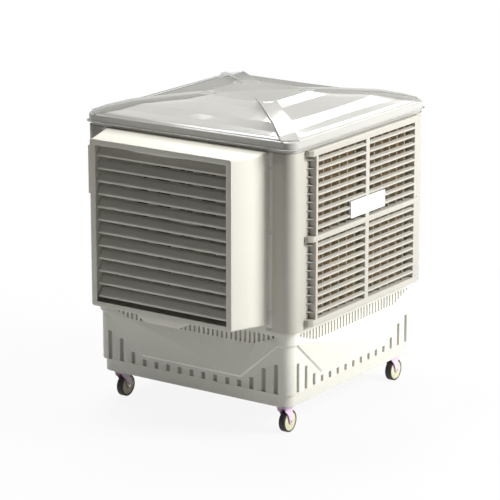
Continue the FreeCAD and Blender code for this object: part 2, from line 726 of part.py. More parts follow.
def panel_screws():
    """Six pan-head screws in the front panel's edges."""
    screws = []
    head_back = panel_face() + size.gap
    for side in (-1, 1):
        for number, height in enumerate((size.screw_high, size.screw_mid, size.screw_low)):
            spot = (size.screw_x * side, -(head_back + 2.5), height)
            head = rod("screw_head", size.screw_head, "y", spot, 2.5)
            shank = rod("screw_shank", size.screw_shank, "y",
                        (spot[0], -head_back, height), size.panel_thick)
            screws.append(join("screw", head, shank))
    return finish(group("screws", *screws), "panel_screws")


def outlet_hood():
    """Tapering box hood between the front panel and the louvre frame."""
    piece = Piece("hood")
    back = panel_face() + size.gap
    front = size.hood_front - size.frame_lip - size.gap

    def level(distance, half, low, high, inset):
        sketch = piece.sketch("XZ", distance)
        rectangle(sketch, (inset - half, half - inset), (low + inset, high - inset))
        return sketch

    def ends(inset):
        return [level(back, size.hood_back_half, size.hood_back_low, size.hood_back_high, inset),
                level(front, size.hood_front_half, size.hood_front_low, size.hood_front_high, inset)]

    piece.loft(ends(0))
    piece.loft(ends(size.hood_wall), hollow=True)
    hole = piece.sketch("XY", size.outlet_low)
    circle(hole, 0, -size.vane_axis, size.pivot_radius + 2)
    piece.pocket(hole, size.outlet_low - size.hood_back_low + 5)
    return finish(piece.body, "outlet_hood")


def louvre_heights():
    """Pivot height of each louvre, from the top down."""
    top = size.louvre_tip + size.louvre_lip + size.louvre_front * sine(size.louvre_tilt)
    return [top - size.louvre_pitch * step for step in range(int(size.louvre_count.value))]


def vane_places():
    """Place of each vane across the outlet."""
    return [size.vane_pitch * step for step in range(-2, 3)]


def louvre_frame():
    """Front lip and sleeve that carry the louvres and vanes, with the chin under them."""
    piece = Piece("frame")
    lip_back = size.hood_front - size.frame_lip
    lip = piece.sketch("XZ", lip_back)
    rectangle(lip, (-size.hood_front_half, size.hood_front_half),
              (size.hood_front_low, size.hood_front_high))
    piece.pad(lip, size.frame_lip)
    wall = size.sleeve_wall
    sleeve = piece.sketch("XZ", size.sleeve_back)
    rectangle(sleeve, (-size.sleeve_half - wall, size.sleeve_half + wall),
              (size.sleeve_low - wall, size.sleeve_high + wall))
    piece.pad(sleeve, lip_back - size.sleeve_back)

    def chin_end(distance, top, low, inset):
        sketch = piece.sketch("XZ", distance)
        polygon(sketch, [(inset - size.chin_low_half, low + inset), (size.chin_low_half - inset, low + inset),
                         (size.chin_top_half - inset, top), (inset - size.chin_top_half, top)])
        return sketch

    slope = (size.hood_front_low - size.hood_back_low) / (lip_back - panel_face())
    back_top = size.hood_front_low - (lip_back - size.chin_back) * slope - 2 * size.gap
    front_top = size.hood_front_low - 2 * size.gap
    piece.loft([chin_end(lip_back, size.hood_front_low + 1, size.chin_low, 0),
                chin_end(size.hood_front, size.hood_front_low + 1, size.chin_low + size.chin_rake, 0)])
    piece.loft([chin_end(size.chin_back, back_top, size.chin_low, 0),
                chin_end(lip_back, front_top, size.chin_low, 0)])
    inside = piece.sketch("XZ", size.sleeve_back - 1)
    rectangle(inside, (-size.sleeve_half, size.sleeve_half), (size.sleeve_low, size.sleeve_high))
    piece.pocket(inside, lip_back - size.sleeve_back + 1, backwards=True)
    mouth = piece.sketch("XZ", size.sleeve_back)
    rectangle(mouth, (-size.outlet_half, size.outlet_half), (size.outlet_low, size.outlet_high))
    piece.pocket(mouth, size.hood_front, backwards=True)
    pivots = piece.sketch("YZ")
    for height in louvre_heights():
        circle(pivots, -size.louvre_axis, height, size.pivot_radius + size.fit)
    piece.pocket(pivots, 2 * size.hood_front_half, both_ways=True)
    pins = piece.sketch("XY", size.sleeve_high + wall + 1)
    for across in vane_places():
        circle(pins, across, -size.vane_axis, size.pivot_radius + size.fit)
    piece.pocket(pins, size.sleeve_high - size.sleeve_low + 2 * wall + 2)
    pocket = piece.sketch("XY", size.hood_front_low)
    rectangle(pocket, (-size.chin_low_half + 25, size.chin_low_half - 25),
              (-size.vane_axis - size.swing_half - 8, -size.chin_back - 4))
    piece.pocket(pocket, size.hood_front_low - size.chin_low - 3)
    return finish(piece.body, "louvre_frame")


def louvre(number, height):
    """Tilted blade with a turned-down lip, its pivot bead and the pin for the tie bar."""
    piece = Piece(f"blade_{number}")
    tilt_sine, tilt_cosine = sine(size.louvre_tilt), cosine(size.louvre_tilt)
    half = size.louvre_thick / 2
    axis = -size.louvre_axis
    tip_y, tip_z = axis - size.louvre_front * tilt_cosine, height - size.louvre_front * tilt_sine
    back_y, back_z = axis + size.louvre_back * tilt_cosine, height + size.louvre_back * tilt_sine
    lip_y = tip_y - half * tilt_sine
    inner_z = tip_z - half * tilt_cosine + size.louvre_thick * (1 - tilt_sine) * tilt_sine / tilt_cosine
    blade = piece.sketch("YZ")
    polygon(blade, [
        (back_y - half * tilt_sine, back_z + half * tilt_cosine), (lip_y, tip_z + half * tilt_cosine),
        (lip_y, tip_z - size.louvre_lip), (lip_y + size.louvre_thick, tip_z - size.louvre_lip),
        (lip_y + size.louvre_thick, inner_z), (back_y + half * tilt_sine, back_z - half * tilt_cosine)])
    piece.pad(blade, 2 * size.louvre_half, both_ways=True)
    for start, backwards in ((size.louvre_half, False), (-size.louvre_half, True)):
        pivot = piece.sketch("YZ", start)
        circle(pivot, axis, height, size.pivot_radius)
        piece.pad(pivot, size.sleeve_half + size.sleeve_wall - size.louvre_half, backwards=backwards)
    crank = piece.sketch("YZ", size.louvre_half)
    circle(crank, axis + size.crank * tilt_cosine, height + size.crank * tilt_sine, size.crank_pin)
    piece.pad(crank, size.sleeve_half - size.louvre_half - 1)
    return finish(piece.body, f"louvre_{number:02d}")


def louvre_tie():
    """Upright bar at the blades' right ends that turns all the louvres together."""
    piece = Piece("tie")
    heights = [height + size.crank * sine(size.louvre_tilt) for height in louvre_heights()]
    middle = -size.louvre_axis + size.crank * cosine(size.louvre_tilt)
    sketch = piece.sketch("YZ", size.louvre_half + 1)
    half = size.tie_width / 2
    rectangle(sketch, (middle - half, middle + half), (heights[-1] - 8, heights[0] + 8))
    notch = size.crank_pin + size.fit
    for height in heights:
        rectangle(sketch, (middle - notch, middle + notch), (height - notch, height + notch))
    piece.pad(sketch, size.tie_thick)
    return finish(piece.body, "louvre_tie_bar")


def vane(number, across):
    """Upright vane with a pivot at each end and a foot that carries the pin for the tie bar."""
    piece = Piece(f"vane_{number}")
    axis = -size.vane_axis
    half = size.vane_thick / 2
    blade = piece.sketch("XY", size.vane_low)
    rectangle(blade, (across - half, across + half), (axis - size.vane_front, axis + size.vane_back))
    piece.pad(blade, size.vane_high - size.vane_low)
    foot = piece.sketch("XY", size.vane_low)
    pad = size.pivot_radius + 1
    rectangle(foot, (across - pad, across + pad), (axis - pad, axis + size.vane_back - 2))
    piece.pad(foot, size.foot_thick)
    low_end = size.sleeve_low - size.sleeve_wall
    if number == 3:
        low_end = size.chin_low + size.swing_height - 4
    bottom = piece.sketch("XY", low_end)
    circle(bottom, across, axis, size.pivot_radius)
    piece.pad(bottom, size.vane_low - low_end)
    head = piece.sketch("XY", size.vane_high - size.foot_thick)
    rectangle(head, (across - pad, across + pad), (axis - pad, axis + pad))
    piece.pad(head, size.foot_thick)
    top = piece.sketch("XY", size.vane_high)
    circle(top, across, axis, size.pivot_radius)
    piece.pad(top, size.sleeve_high + size.sleeve_wall - size.vane_high)
    crank = piece.sketch("XY", size.vane_low - 2 * size.tie_thick)
    circle(crank, across, axis + size.vane_crank, size.crank_pin)
    piece.pad(crank, 2 * size.tie_thick)
    return finish(piece.body, f"vane_{number}")


def vane_tie():
    """Flat bar under the vanes that swings them together."""
    piece = Piece("vane_tie")
    row = -size.vane_axis + size.vane_crank
    sketch = piece.sketch("XY", size.vane_low - 1 - size.tie_thick)
    half = size.tie_width / 2
    places = vane_places()
    rectangle(sketch, (places[0] - 10, places[-1] + 10), (row - half, row + half))
    notch = size.crank_pin + size.fit
    for across in places:
        rectangle(sketch, (across - notch, across + notch), (row - notch, row + notch))
    piece.pad(sketch, size.tie_thick)
    return finish(piece.body, "vane_tie_bar")


def swing_motor():
    """Small gear motor in the chin, with a bore for the middle vane's lower pivot."""
    piece = Piece("swing")
    low = size.chin_low + 3 + size.gap
    half, axis = size.swing_half, -size.vane_axis
    sketch = piece.sketch("XY", low)
    rectangle(sketch, (-half, half), (axis - half, axis + half))
    piece.pad(sketch, size.swing_height - 4)
    bore = piece.sketch("XY", low + size.swing_height)
    circle(bore, 0, axis, size.pivot_radius + size.fit)
    piece.pocket(bore, size.swing_height - 6)
    return finish(piece.body, "swing_motor")


def fan_ring():
    """Duct round the fan, with a flange on the front panel and a flared mouth behind."""
    piece = Piece("ring")
    front = size.case_half - size.joggle
    sketch = piece.sketch("YZ", up=size.fan_height)
    wall, bore = size.fan_ring_wall, size.fan_bore
    back = size.fan_ring_back
    polygon(sketch, [(-front, bore), (-front, bore + wall), (-(back + size.fan_flare), bore + wall),
                     (-back, bore + wall + size.fan_flare), (-back, bore + size.fan_flare),
                     (-(back + size.fan_flare), bore)])
    piece.revolve(sketch)
    return finish(piece.body, "fan_ring")


def fan_guard():
    """Wire guard: round wires in front of crossing spokes, flat against the front panel."""
    piece = Piece("guard")
    wire = size.guard_wire
    back = panel_face() + size.gap
    outer = size.fan_bore + 14
    spokes = piece.sketch("XZ", back, up=size.fan_height)
    circle(spokes, 0, 0, 45)
    plate = piece.pad(spokes, wire)
    arm = piece.sketch("XZ", back, up=size.fan_height)
    rectangle(arm, (-wire, wire), (40, outer - 2))
    piece.pad(arm, wire)
    arm_low = piece.sketch("XZ", back, up=size.fan_height)
    rectangle(arm_low, (-wire, wire), (-(outer - 2), -40))
    piece.pad(arm_low, wire)
    for side in (-1, 1):
        cross = piece.sketch("XZ", back, up=size.fan_height)
        rectangle(cross, (40, outer - 2) if side > 0 else (-(outer - 2), -40), (-wire, wire))
        piece.pad(cross, wire)
    rim = piece.sketch("XZ", back, up=size.fan_height)
    circle(rim, 0, 0, outer)
    circle(rim, 0, 0, outer - 2 * wire)
    piece.pad(rim, wire)
    rings = int(size.guard_rings.value)
    pitch = (outer - 60) / rings
    wires = piece.sketch("XZ", back + wire, up=size.fan_height)
    for step in range(rings):
        circle(wires, 0, 0, 60 + pitch * step)
        circle(wires, 0, 0, 60 - wire + pitch * step)
    piece.pad(wires, wire)
    return finish(piece.body, "fan_guard")


def fan_rotor():
    """Hub, shaft and twisted blades, built about the fan's own axis."""
    piece = Piece("rotor")
    hub = piece.sketch("XZ", size.hub_back)
    circle(hub, 0, 0, size.fan_hub)
    piece.pad(hub, size.hub_front - size.hub_back)
    shaft = piece.sketch("XZ", size.motor_front - 25)
    circle(shaft, 0, 0, size.shaft_radius)
    piece.pad(shaft, size.hub_back - size.motor_front + 27)
    middle = -(size.hub_front + size.hub_back) / 2

    def section(height, chord, depth):
        """A thin slanted outline: half its reach across X and along Y."""
        sketch = piece.sketch("XY", height)
        polygon(sketch, [(-chord, middle - depth), (chord, middle + depth - size.blade_thick),
                         (chord, middle + depth), (-chord, middle - depth + size.blade_thick)])
        return sketch

    blade = piece.loft([section(size.fan_hub - 12, 26, 34), section(size.fan_tip, 75, 22)])
    piece.around([blade], int(size.fan_blades.value), "Y_Axis")
    return finish(piece.body, "fan_rotor", at=(0, 0, size.fan_height))


def fan_motor():
    """Motor with a flange and a blind bore for the rotor's shaft."""
    piece = Piece("motor")
    flange_back = size.fan_ring_back - size.gap
    shell = piece.sketch("XZ", size.motor_back)
    circle(shell, 0, 0, size.motor_radius)
    piece.pad(shell, size.motor_front - size.motor_back)
    flange = piece.sketch("XZ", flange_back)
    circle(flange, 0, 0, size.motor_flange)
    piece.pad(flange, 6)
    bore = piece.sketch("XZ", size.motor_front + 1)
    circle(bore, 0, 0, size.shaft_radius + size.fit)
    piece.pocket(bore, 28)
    return finish(piece.body, "fan_motor", at=(0, 0, size.fan_height))


def motor_bracket():
    """Ring round the motor on four flat arms that reach the duct's rear edge."""
    piece = Piece("bracket")
    front = size.fan_ring_back - size.gap
    thick = size.bracket_thick
    reach = size.fan_bore + size.fan_flare
    ring = piece.sketch("XZ", front - thick)
    circle(ring, 0, 0, size.motor_flange + 10)
    piece.pad(ring, thick)
    half = size.bracket_arm / 2
    arms = piece.sketch("XZ", front - thick)
    rectangle(arms, (-reach, reach), (-half, half))
    piece.pad(arms, thick)
    arms = piece.sketch("XZ", front - thick)
    rectangle(arms, (-half, half), (-reach, reach))
    piece.pad(arms, thick)
    hole = piece.sketch("XZ", front + 1)
    circle(hole, 0, 0, size.motor_radius + size.gap)
    piece.pocket(hole, thick + 2)
    return finish(piece.body, "motor_bracket", at=(0, 0, size.fan_height))


def water_pump():
    """Submersible pump on the tank's floor, with a strainer foot and an outlet stub."""
    x, y = -size.pump_place, size.pump_place
    floor = size.tank_base + size.tank_floor + size.gap
    foot = rod("pump_foot", size.pump_radius + 5, "z", (x, y, floor), 22)
    shell = rod("pump_shell", size.pump_radius, "z", (x, y, floor + 20), size.pump_height - 20)
    stub = rod("pump_stub", size.stub_radius, "z", (x, y, floor + size.pump_height - 2), 42)
    return finish(join("pump", foot, shell, stub), "water_pump")


def riser_pipe():
    """Pipe from the pump up through the case's corner."""
    x, y = -size.pump_place, size.pump_place
    low = size.tank_base + size.tank_floor + size.pump_height + size.gap + 2
    high = header_height() - size.header_radius + 2
    outside = rod("riser_outside", size.riser_radius, "z", (x, y, low), high - low)
    bore = rod("riser_bore", size.stub_radius + size.gap, "z", (x, y, low - 1), high - low + 2)
    return finish(cut("riser", outside, bore), "riser_pipe")


def header_height():
    """Height of the header pipe's axis, just over the pads."""
    return size.pad_top + size.header_gap + size.header_radius


def water_header():
    """Pipe over the three pads, fed at the corner from the riser's socket."""
    place = size.case_half - size.joggle - size.pad_thick / 2
    height = header_height()
    radius = size.header_radius
    end = size.pad_half - 20
    left = rod("header_left", radius, "y", (-place, -end, height), place + end + radius)
    right = rod("header_right", radius, "y", (place, -end, height), place + end + radius)
    rear = rod("header_rear", radius, "x", (-place - radius, place, height), 2 * (place + radius))
    low = height - radius
    x, y = -size.pump_place, size.pump_place
    socket = rod("socket", size.riser_radius + 4, "z", (x, y, low - 24), 24 + 2 * radius)
    hole = rod("socket_hole", size.riser_radius + size.gap, "z", (x, y, low - 25), 28)
    feed = rod("feed", radius, "z", (-place, place, height), (place - size.pump_place) * math.sqrt(2))
    feed.Placement.Rotation = FreeCAD.Rotation(Z_AXIS, FreeCAD.Vector(1, -1, 0))
    pipes = join("header_pipes", left, right, rear, feed, socket)
    return finish(cut("header", pipes, hole), "water_header")


def float_valve():
    """Inlet valve through the tank's left wall, with its nut and the float arm's pivot."""
    y, height = size.valve_y, size.valve_height
    inner = size.tank_half - size.tank_wall
    start = -size.case_half
    tail = rod("valve_tail", size.inlet_radius, "x", (start, y, height), size.case_half - inner + 2)
    nut = hexagon("valve_nut", 18, "x", (-(size.apron_half + 7), y, height), 7 - size.gap)
    body = block("valve_body", (size.gap - inner, 22 - inner), (y - 15, y + 15), (height - 15, height + 15))
    lug_y = 6
    lug = block("valve_lug", (20 - inner, 46 - inner), (y + lug_y, y + lug_y + 4), (height - 8, height + 8))
    pin = rod("valve_pin", size.pivot_radius, "y", (38 - inner, y - lug_y, height), 2 * lug_y + 2)
    return finish(join("valve", tail, nut, body, lug, pin), "float_valve")


def float_arm():
    """Arm and drum float that hang from the valve's pivot."""
    y, height = size.valve_y, size.valve_height
    pivot = 38 - (size.tank_half - size.tank_wall)
    eye = rod("arm_eye", 8, "y", (pivot, y - 5, height), 10)
    stem = rod("arm_stem", size.pivot_radius, "x", (pivot + 4, y, height), size.float_arm)
    middle = pivot + size.float_arm + size.float_radius - 6
    drum = rod("arm_float", size.float_radius, "z", (middle, y, height - size.float_height / 2),
               size.float_height)
    bore = rod("arm_bore", size.pivot_radius + size.fit, "y", (pivot, y - 6, height), 12)
    return finish(cut("arm", join("arm_solid", eye, stem, drum), bore), "float_arm")


def drain_plug():
    """Plug with a six-sided head, in the low hole of the tank's left side."""
    y, height = size.drain_y, size.drain_height
    shank = rod("plug_shank", size.drain_radius, "x", (-size.skirt_half - 1, y, height), size.tank_wall)
    cap = hexagon("plug_cap", size.drain_radius + 7, "x", (-size.skirt_half - 10, y, height), 10 - size.gap)
    return finish(join("plug", shank, cap), "drain_plug")


def control_box():
    """Slim control box on the left front post, with a bore for the knob's spindle."""
    piece = Piece("control")
    back = size.case_half + size.gap
    sketch = piece.sketch("YZ", -size.control_front)
    rectangle(sketch, (-size.control_edge, -size.post_edge - 1),
              (size.control_low, size.control_low + size.control_height))
    piece.pad(sketch, size.control_front - back)
    bore = piece.sketch("YZ", -size.control_front - 1)
    circle(bore, knob_place()[0], knob_place()[1], size.pivot_radius + size.fit)
    piece.pocket(bore, 12, backwards=True)
    return finish(piece.body, "control_box")


def knob_place():
    """Y and Z of the speed knob's axis."""
    return (-(size.control_edge + size.post_edge) / 2, size.control_low + size.control_height * 0.72)


def speed_knob():
    """Round speed knob with a grip bar and a spindle."""
    y, height = knob_place()
    face = size.control_front + size.gap
    reach = SIDE_REACH - face
    skirt = rod("knob_skirt", size.knob_radius, "x", (-face - 4, y, height), 4)
    grip = block("knob_grip", (-SIDE_REACH, -face - 3), (y - 3, y + 3),
                 (height - size.knob_radius + 1, height + size.knob_radius - 1))
    spindle = rod("knob_spindle", size.pivot_radius, "x", (-face - 1, y, height), 10)
    return finish(join("knob", skirt, grip, spindle), "speed_knob")


def cable_gland():
    """Gland under the control box where a supply cable would enter."""
    y = knob_place()[0]
    x = -(size.case_half + size.control_front) / 2
    top = size.control_low - size.gap
    nut = hexagon("gland_nut", size.gland_radius + 3, "z", (x, y, top - 8), 8)
    dome = rod("gland_dome", size.gland_radius, "z", (x, y, top - 20), 14)
    return finish(join("gland", nut, dome), "cable_gland")


def castor_places():
    """Names and corners of the castors."""
    return [("front_right", 1, -1), ("rear_right", 1, 1), ("rear_left", -1, 1), ("front_left", -1, -1)]


def castor_plates():
    """Four mounting plates, each with its ball race and kingpin."""
    plates = []
    top = size.tank_base - size.gap
    crown_top = crown_height() + size.castor_plate_thick
    for name, across, along in castor_places():
        x, y = size.castor_spread * across, size.castor_spread * along
        half = size.castor_plate_half
        plate = block("castor_plate", (x - half, x + half), (y - half, y + half),
                      (top - size.castor_plate_thick, top))
        race = rod("castor_race", size.race_radius, "z", (x, y, crown_top + size.gap),
                   top - 1 - crown_top - size.gap)
        pin = rod("castor_kingpin", size.kingpin_radius, "z", (x, y, crown_height() - 2), 12)
        plates.append(join("plate_" + name, plate, race, pin))
    return finish(group("plates", *plates), "castor_plates")


def crown_height():
    """Height of the underside of each fork's crown."""
    return 2 * size.wheel_radius + size.crown_room


def castor_fork(name, place, braked):
    """Swivelling fork: crown, two shaped legs, axle, and a pedal pivot where it has a brake."""
    piece = Piece("fork_" + name)
    low = crown_height()
    top = low + size.castor_plate_thick
    trail = size.castor_trail
    width = size.fork_inside + 2 * size.fork_wall
    crown = piece.sketch("XY", low)
    rectangle(crown, (-width / 2, width / 2), (-size.crown_radius, size.crown_radius))
    piece.pad(crown, size.castor_plate_thick)
    legs = piece.sketch("YZ")
    polygon(legs, [(-22, top), (-22, low - 12), (-6, low - 26), (8, low - 44), (trail - 12, 48),
                   (trail - 7, 41), (trail + 5, 40), (trail + 11, 48), (trail + 10, 80), (trail + 2, top)])
    piece.pad(legs, width, both_ways=True)
    gap_between = piece.sketch("YZ")
    reach = 2 * size.wheel_radius
    rectangle(gap_between, (-reach, reach + size.castor_trail), (0, low))
    piece.pocket(gap_between, size.fork_inside, both_ways=True)
    bore = piece.sketch("XY", top + 1)
    circle(bore, 0, 0, size.kingpin_radius + size.fit)
    piece.pocket(bore, size.castor_plate_thick + 3)
    axle = piece.sketch("YZ")
    circle(axle, trail, size.wheel_radius, size.axle_radius)
    piece.pad(axle, width - size.fork_wall, both_ways=True)
    if braked:
        pivot = piece.sketch("YZ")
        circle(pivot, pedal_pivot()[0], pedal_pivot()[1], size.pivot_radius)
        piece.pad(pivot, width - size.fork_wall, both_ways=True)
    return finish(piece.body, "castor_fork_" + name, at=(place[0], place[1], 0))


def pedal_pivot():
    """Y and Z of the brake pedal's pivot, from the castor's swivel axis."""
    return (size.castor_trail - 4, crown_height() - 6.5)


def castor_wheel(name, place):
    """Wheel with flat sides and a small hub boss, spun about its axle."""
    piece = Piece("wheel_" + name)
    sketch = piece.sketch("XY", size.wheel_radius, up=size.castor_trail)
    hub, rim = size.hub_width / 2, size.wheel_width / 2
    bore, tread, boss = size.axle_radius + size.fit, size.wheel_radius, size.hub_boss
    polygon(sketch, [(-hub, bore), (-hub, boss), (-rim, boss), (-rim, tread),
                     (rim, tread), (rim, boss), (hub, boss), (hub, bore)])
    piece.revolve(sketch)
    return finish(piece.body, "castor_wheel_" + name, at=(place[0], place[1], 0))


def brake_pedal(name, place):
    """Brake lever with an eye round its pivot and a kicked-up end."""
    piece = Piece("pedal_" + name)
    y, z = pedal_pivot()
    reach = size.pedal_reach
    sketch = piece.sketch("YZ")
    polygon(sketch, [(y - 4, z - 4), (reach - 24, z - 6), (reach, z + 17), (reach - 3, z + 20),
                     (reach - 27, z - 2), (y + 10, z + 4), (y, z + 5.5), (y - 5, z + 3)])
    piece.pad(sketch, size.pedal_width, both_ways=True)
    bore = piece.sketch("YZ")
    circle(bore, y, z, size.pivot_radius + size.fit)
    piece.pocket(bore, size.pedal_width + 2, both_ways=True)
    return finish(piece.body, "brake_pedal_" + name, at=(place[0], place[1], 0))


def build():
    """Make every piece."""
    water_tank()
    base_frame()
    corner_posts()
    lid()
    for name, turn in (("right", 0), ("rear", 90), ("left", 180)):
        cooling_pad(name + "_pad", turn)
        pad_grille(name + "_grille", turn)
    name_plate()
    front_panel()
    panel_screws()
    outlet_hood()
    louvre_frame()
    for number, height in enumerate(louvre_heights(), 1):
        louvre(number, height)
    louvre_tie()
    for number, across in enumerate(vane_places(), 1):
        vane(number, across)
    vane_tie()
    swing_motor()
    fan_ring()
    fan_guard()
    fan_rotor()
    fan_motor()
    motor_bracket()
    water_pump()
    riser_pipe()
    water_header()
    float_valve()
    float_arm()
    drain_plug()
    control_box()
    speed_knob()
    cable_gland()
    castor_plates()
    for name, across, along in castor_places():
        place = (size.castor_spread * across, size.castor_spread * along)
        castor_fork(name, place, braked=across > 0)
        castor_wheel(name, place)
        if across > 0:
            brake_pedal(name, place)


def check():
    """Stop if any object failed to build, or any piece is not a valid solid."""
    for thing in doc.Objects:
        if {"Invalid", "Error"} & set(thing.State):
            raise RuntimeError(f"{thing.Name} ({thing.Label}) did not build")
    for node, solid in NODES.items():
        shape = solid.Shape
        if shape.isNull() or not shape.isValid() or not shape.Solids:
            raise RuntimeError(f"{node} is not a valid solid")


def save():
    """Write each piece to its own file."""
    os.makedirs("parts", exist_ok=True)
    for node, solid in NODES.items():
        solid.Shape.exportStep(f"parts/{node}.step")


build()
doc.recompute()
check()
save()
print(len(NODES), "pieces")
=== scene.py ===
"""Industrial evaporative cooler on castors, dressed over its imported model.

Lengths are in millimetres from the middle of the case's floor plan. place() turns them
into scene metres.
"""
import json
import math

import bmesh
import bpy
from mathutils import Matrix, Vector

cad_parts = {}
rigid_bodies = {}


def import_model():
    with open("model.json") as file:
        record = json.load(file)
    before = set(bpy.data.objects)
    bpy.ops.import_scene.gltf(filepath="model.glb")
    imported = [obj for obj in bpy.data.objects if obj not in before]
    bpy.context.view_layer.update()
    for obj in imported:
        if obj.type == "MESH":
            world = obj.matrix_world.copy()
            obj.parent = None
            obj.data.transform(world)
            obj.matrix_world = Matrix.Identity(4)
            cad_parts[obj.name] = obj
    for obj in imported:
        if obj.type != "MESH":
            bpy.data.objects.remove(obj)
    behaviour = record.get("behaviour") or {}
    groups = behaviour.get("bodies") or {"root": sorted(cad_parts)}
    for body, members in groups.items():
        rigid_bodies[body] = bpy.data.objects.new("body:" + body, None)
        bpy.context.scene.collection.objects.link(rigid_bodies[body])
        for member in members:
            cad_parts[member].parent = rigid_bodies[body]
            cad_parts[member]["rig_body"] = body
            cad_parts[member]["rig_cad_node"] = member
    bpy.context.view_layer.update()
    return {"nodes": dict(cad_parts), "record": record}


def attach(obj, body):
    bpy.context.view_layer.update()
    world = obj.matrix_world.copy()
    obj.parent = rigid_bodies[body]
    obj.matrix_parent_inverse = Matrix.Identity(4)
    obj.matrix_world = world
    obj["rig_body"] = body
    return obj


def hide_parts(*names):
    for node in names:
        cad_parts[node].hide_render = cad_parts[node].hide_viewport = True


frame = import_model()

# The case's middle lies this far behind the scene's origin, in metres.
CASE_Y = 0.0795


def place(x, y, z):
    return Vector((x / 1000, y / 1000 + CASE_Y, z / 1000))


def case_mm(spot):
    """The way back from place()."""
    return Vector((spot.x * 1000, (spot.y - CASE_Y) * 1000, spot.z * 1000))


# Shared effects, each a shader node group

def new_group(name, inputs, outputs):
    group = bpy.data.node_groups.new(name, "ShaderNodeTree")
    for socket, (kind, start) in inputs.items():
        made = group.interface.new_socket(socket, in_out="INPUT", socket_type="NodeSocket" + kind)
        made.default_value = start
    for socket, kind in outputs.items():
        group.interface.new_socket(socket, in_out="OUTPUT", socket_type="NodeSocket" + kind)
    return group


class Tree:
    """Adds nodes to a tree and joins them by name."""

    def __init__(self, tree):
        self.tree = tree

    def add(self, kind, settings=None, **inputs):
        node = self.tree.nodes.new("ShaderNode" + kind if not kind.startswith("Node") else kind)
        for name, value in (settings or {}).items():
            setattr(node, name, value)
        for name, value in inputs.items():
            self.feed(node, name.replace("_", " "), value)
        return node

    def feed(self, node, name, value):
        socket = node.inputs[int(name[1:])] if name[0] == "#" else node.inputs[name]
        if isinstance(value, bpy.types.NodeSocket):
            self.tree.links.new(value, socket)
        else:
            socket.default_value = value

    def ramp(self, factor, stops):
        node = self.add("ValToRGB", Fac=factor)
        ramp = node.color_ramp
        while len(ramp.elements) < len(stops):
            ramp.elements.new(0.5)
        for element, (spot, colour) in zip(ramp.elements, stops):
            element.position = spot
            element.color = (*colour, 1)
        return node.outputs["Color"]

    def scaled(self, value, low, high):
        node = self.add("MapRange", Value=value)
        node.inputs["To Min"].default_value = low
        node.inputs["To Max"].default_value = high
        return node.outputs["Result"]


def object_place(tree):
    return tree.add("TexCoord").outputs["Object"]


def make_mould_grain():
    """Fine grain, faint waviness and uneven gloss of a moulded plastic wall."""
    group = new_group(
        "mould_grain",
        {"Grain Size": ("Float", 900.0), "Grain Depth": ("Float", 0.1), "Wave": ("Float", 0.1),
         "Gloss Low": ("Float", 0.3), "Gloss High": ("Float", 0.4)},
        {"Normal": "Vector", "Roughness": "Float", "Mottle": "Float"})
    tree = Tree(group)
    given = tree.add("NodeGroupInput").outputs
    spot = object_place(tree)
    grain = tree.add("TexNoise", Vector=spot, Scale=given["Grain Size"], Detail=2.0)
    wave = tree.add("TexNoise", Vector=spot, Scale=6.0, Detail=1.0)
    broad = tree.add("TexNoise", Vector=spot, Scale=11.0, Detail=5.0, Roughness=0.6)
    fine = tree.add("Bump", Height=grain.outputs["Fac"], Strength=given["Grain Depth"], Distance=0.0004)
    waves = tree.add("Bump", Height=wave.outputs["Fac"], Strength=given["Wave"], Distance=0.004,
                     Normal=fine.outputs["Normal"])
    gloss = tree.add("MapRange", Value=broad.outputs["Fac"])
    tree.feed(gloss, "From Min", 0.3)
    tree.feed(gloss, "From Max", 0.7)
    tree.feed(gloss, "To Min", given["Gloss Low"])
    tree.feed(gloss, "To Max", given["Gloss High"])
    result = tree.add("NodeGroupOutput")
    tree.feed(result, "Normal", waves.outputs["Normal"])
    tree.feed(result, "Roughness", gloss.outputs["Result"])
    tree.feed(result, "Mottle", broad.outputs["Fac"])
    return group


def make_low_dust():
    """Mask for dust that gathers low down and in patches."""
    group = new_group("low_dust", {"Top": ("Float", 0.35), "Amount": ("Float", 0.5)}, {"Mask": "Float"})
    tree = Tree(group)
    given = tree.add("NodeGroupInput").outputs
    spot = object_place(tree)
    height = tree.add("SeparateXYZ", Vector=spot).outputs["Z"]
    fall = tree.add("MapRange", Value=height)
    tree.feed(fall, "From Min", given["Top"])
    tree.feed(fall, "From Max", 0.0)
    patches = tree.add("TexNoise", Vector=spot, Scale=28.0, Detail=6.0, Roughness=0.65)
    both = tree.add("Math", {"operation": "MULTIPLY"})
    tree.feed(both, "#0", fall.outputs["Result"])
    tree.feed(both, "#1", patches.outputs["Fac"])
    amount = tree.add("Math", {"operation": "MULTIPLY"})
    tree.feed(amount, "#0", both.outputs[0])
    tree.feed(amount, "#1", given["Amount"])
    tree.feed(tree.add("NodeGroupOutput"), "Mask", amount.outputs[0])
    return group


MOULD_GRAIN = make_mould_grain()
LOW_DUST = make_low_dust()


def new_material(name):
    material = bpy.data.materials.new(name)
    material.use_nodes = True
    tree = Tree(material.node_tree)
    shader = material.node_tree.nodes["Principled BSDF"]
    return material, tree, shader


def blend_colours(tree, factor, first, second):
    """Mix two colours. Each is a socket or three plain numbers."""
    node = tree.add("Mix", {"data_type": "RGBA"})
    node.inputs["Factor"].default_value = 0.0
    tree.feed(node, "Factor", factor)
    for index, colour in ((6, first), (7, second)):
        if isinstance(colour, bpy.types.NodeSocket):
            tree.tree.links.new(colour, node.inputs[index])
        else:
            node.inputs[index].default_value = (*colour, 1)
    return node.outputs[2]


DUST_BROWN = (0.36, 0.32, 0.26)


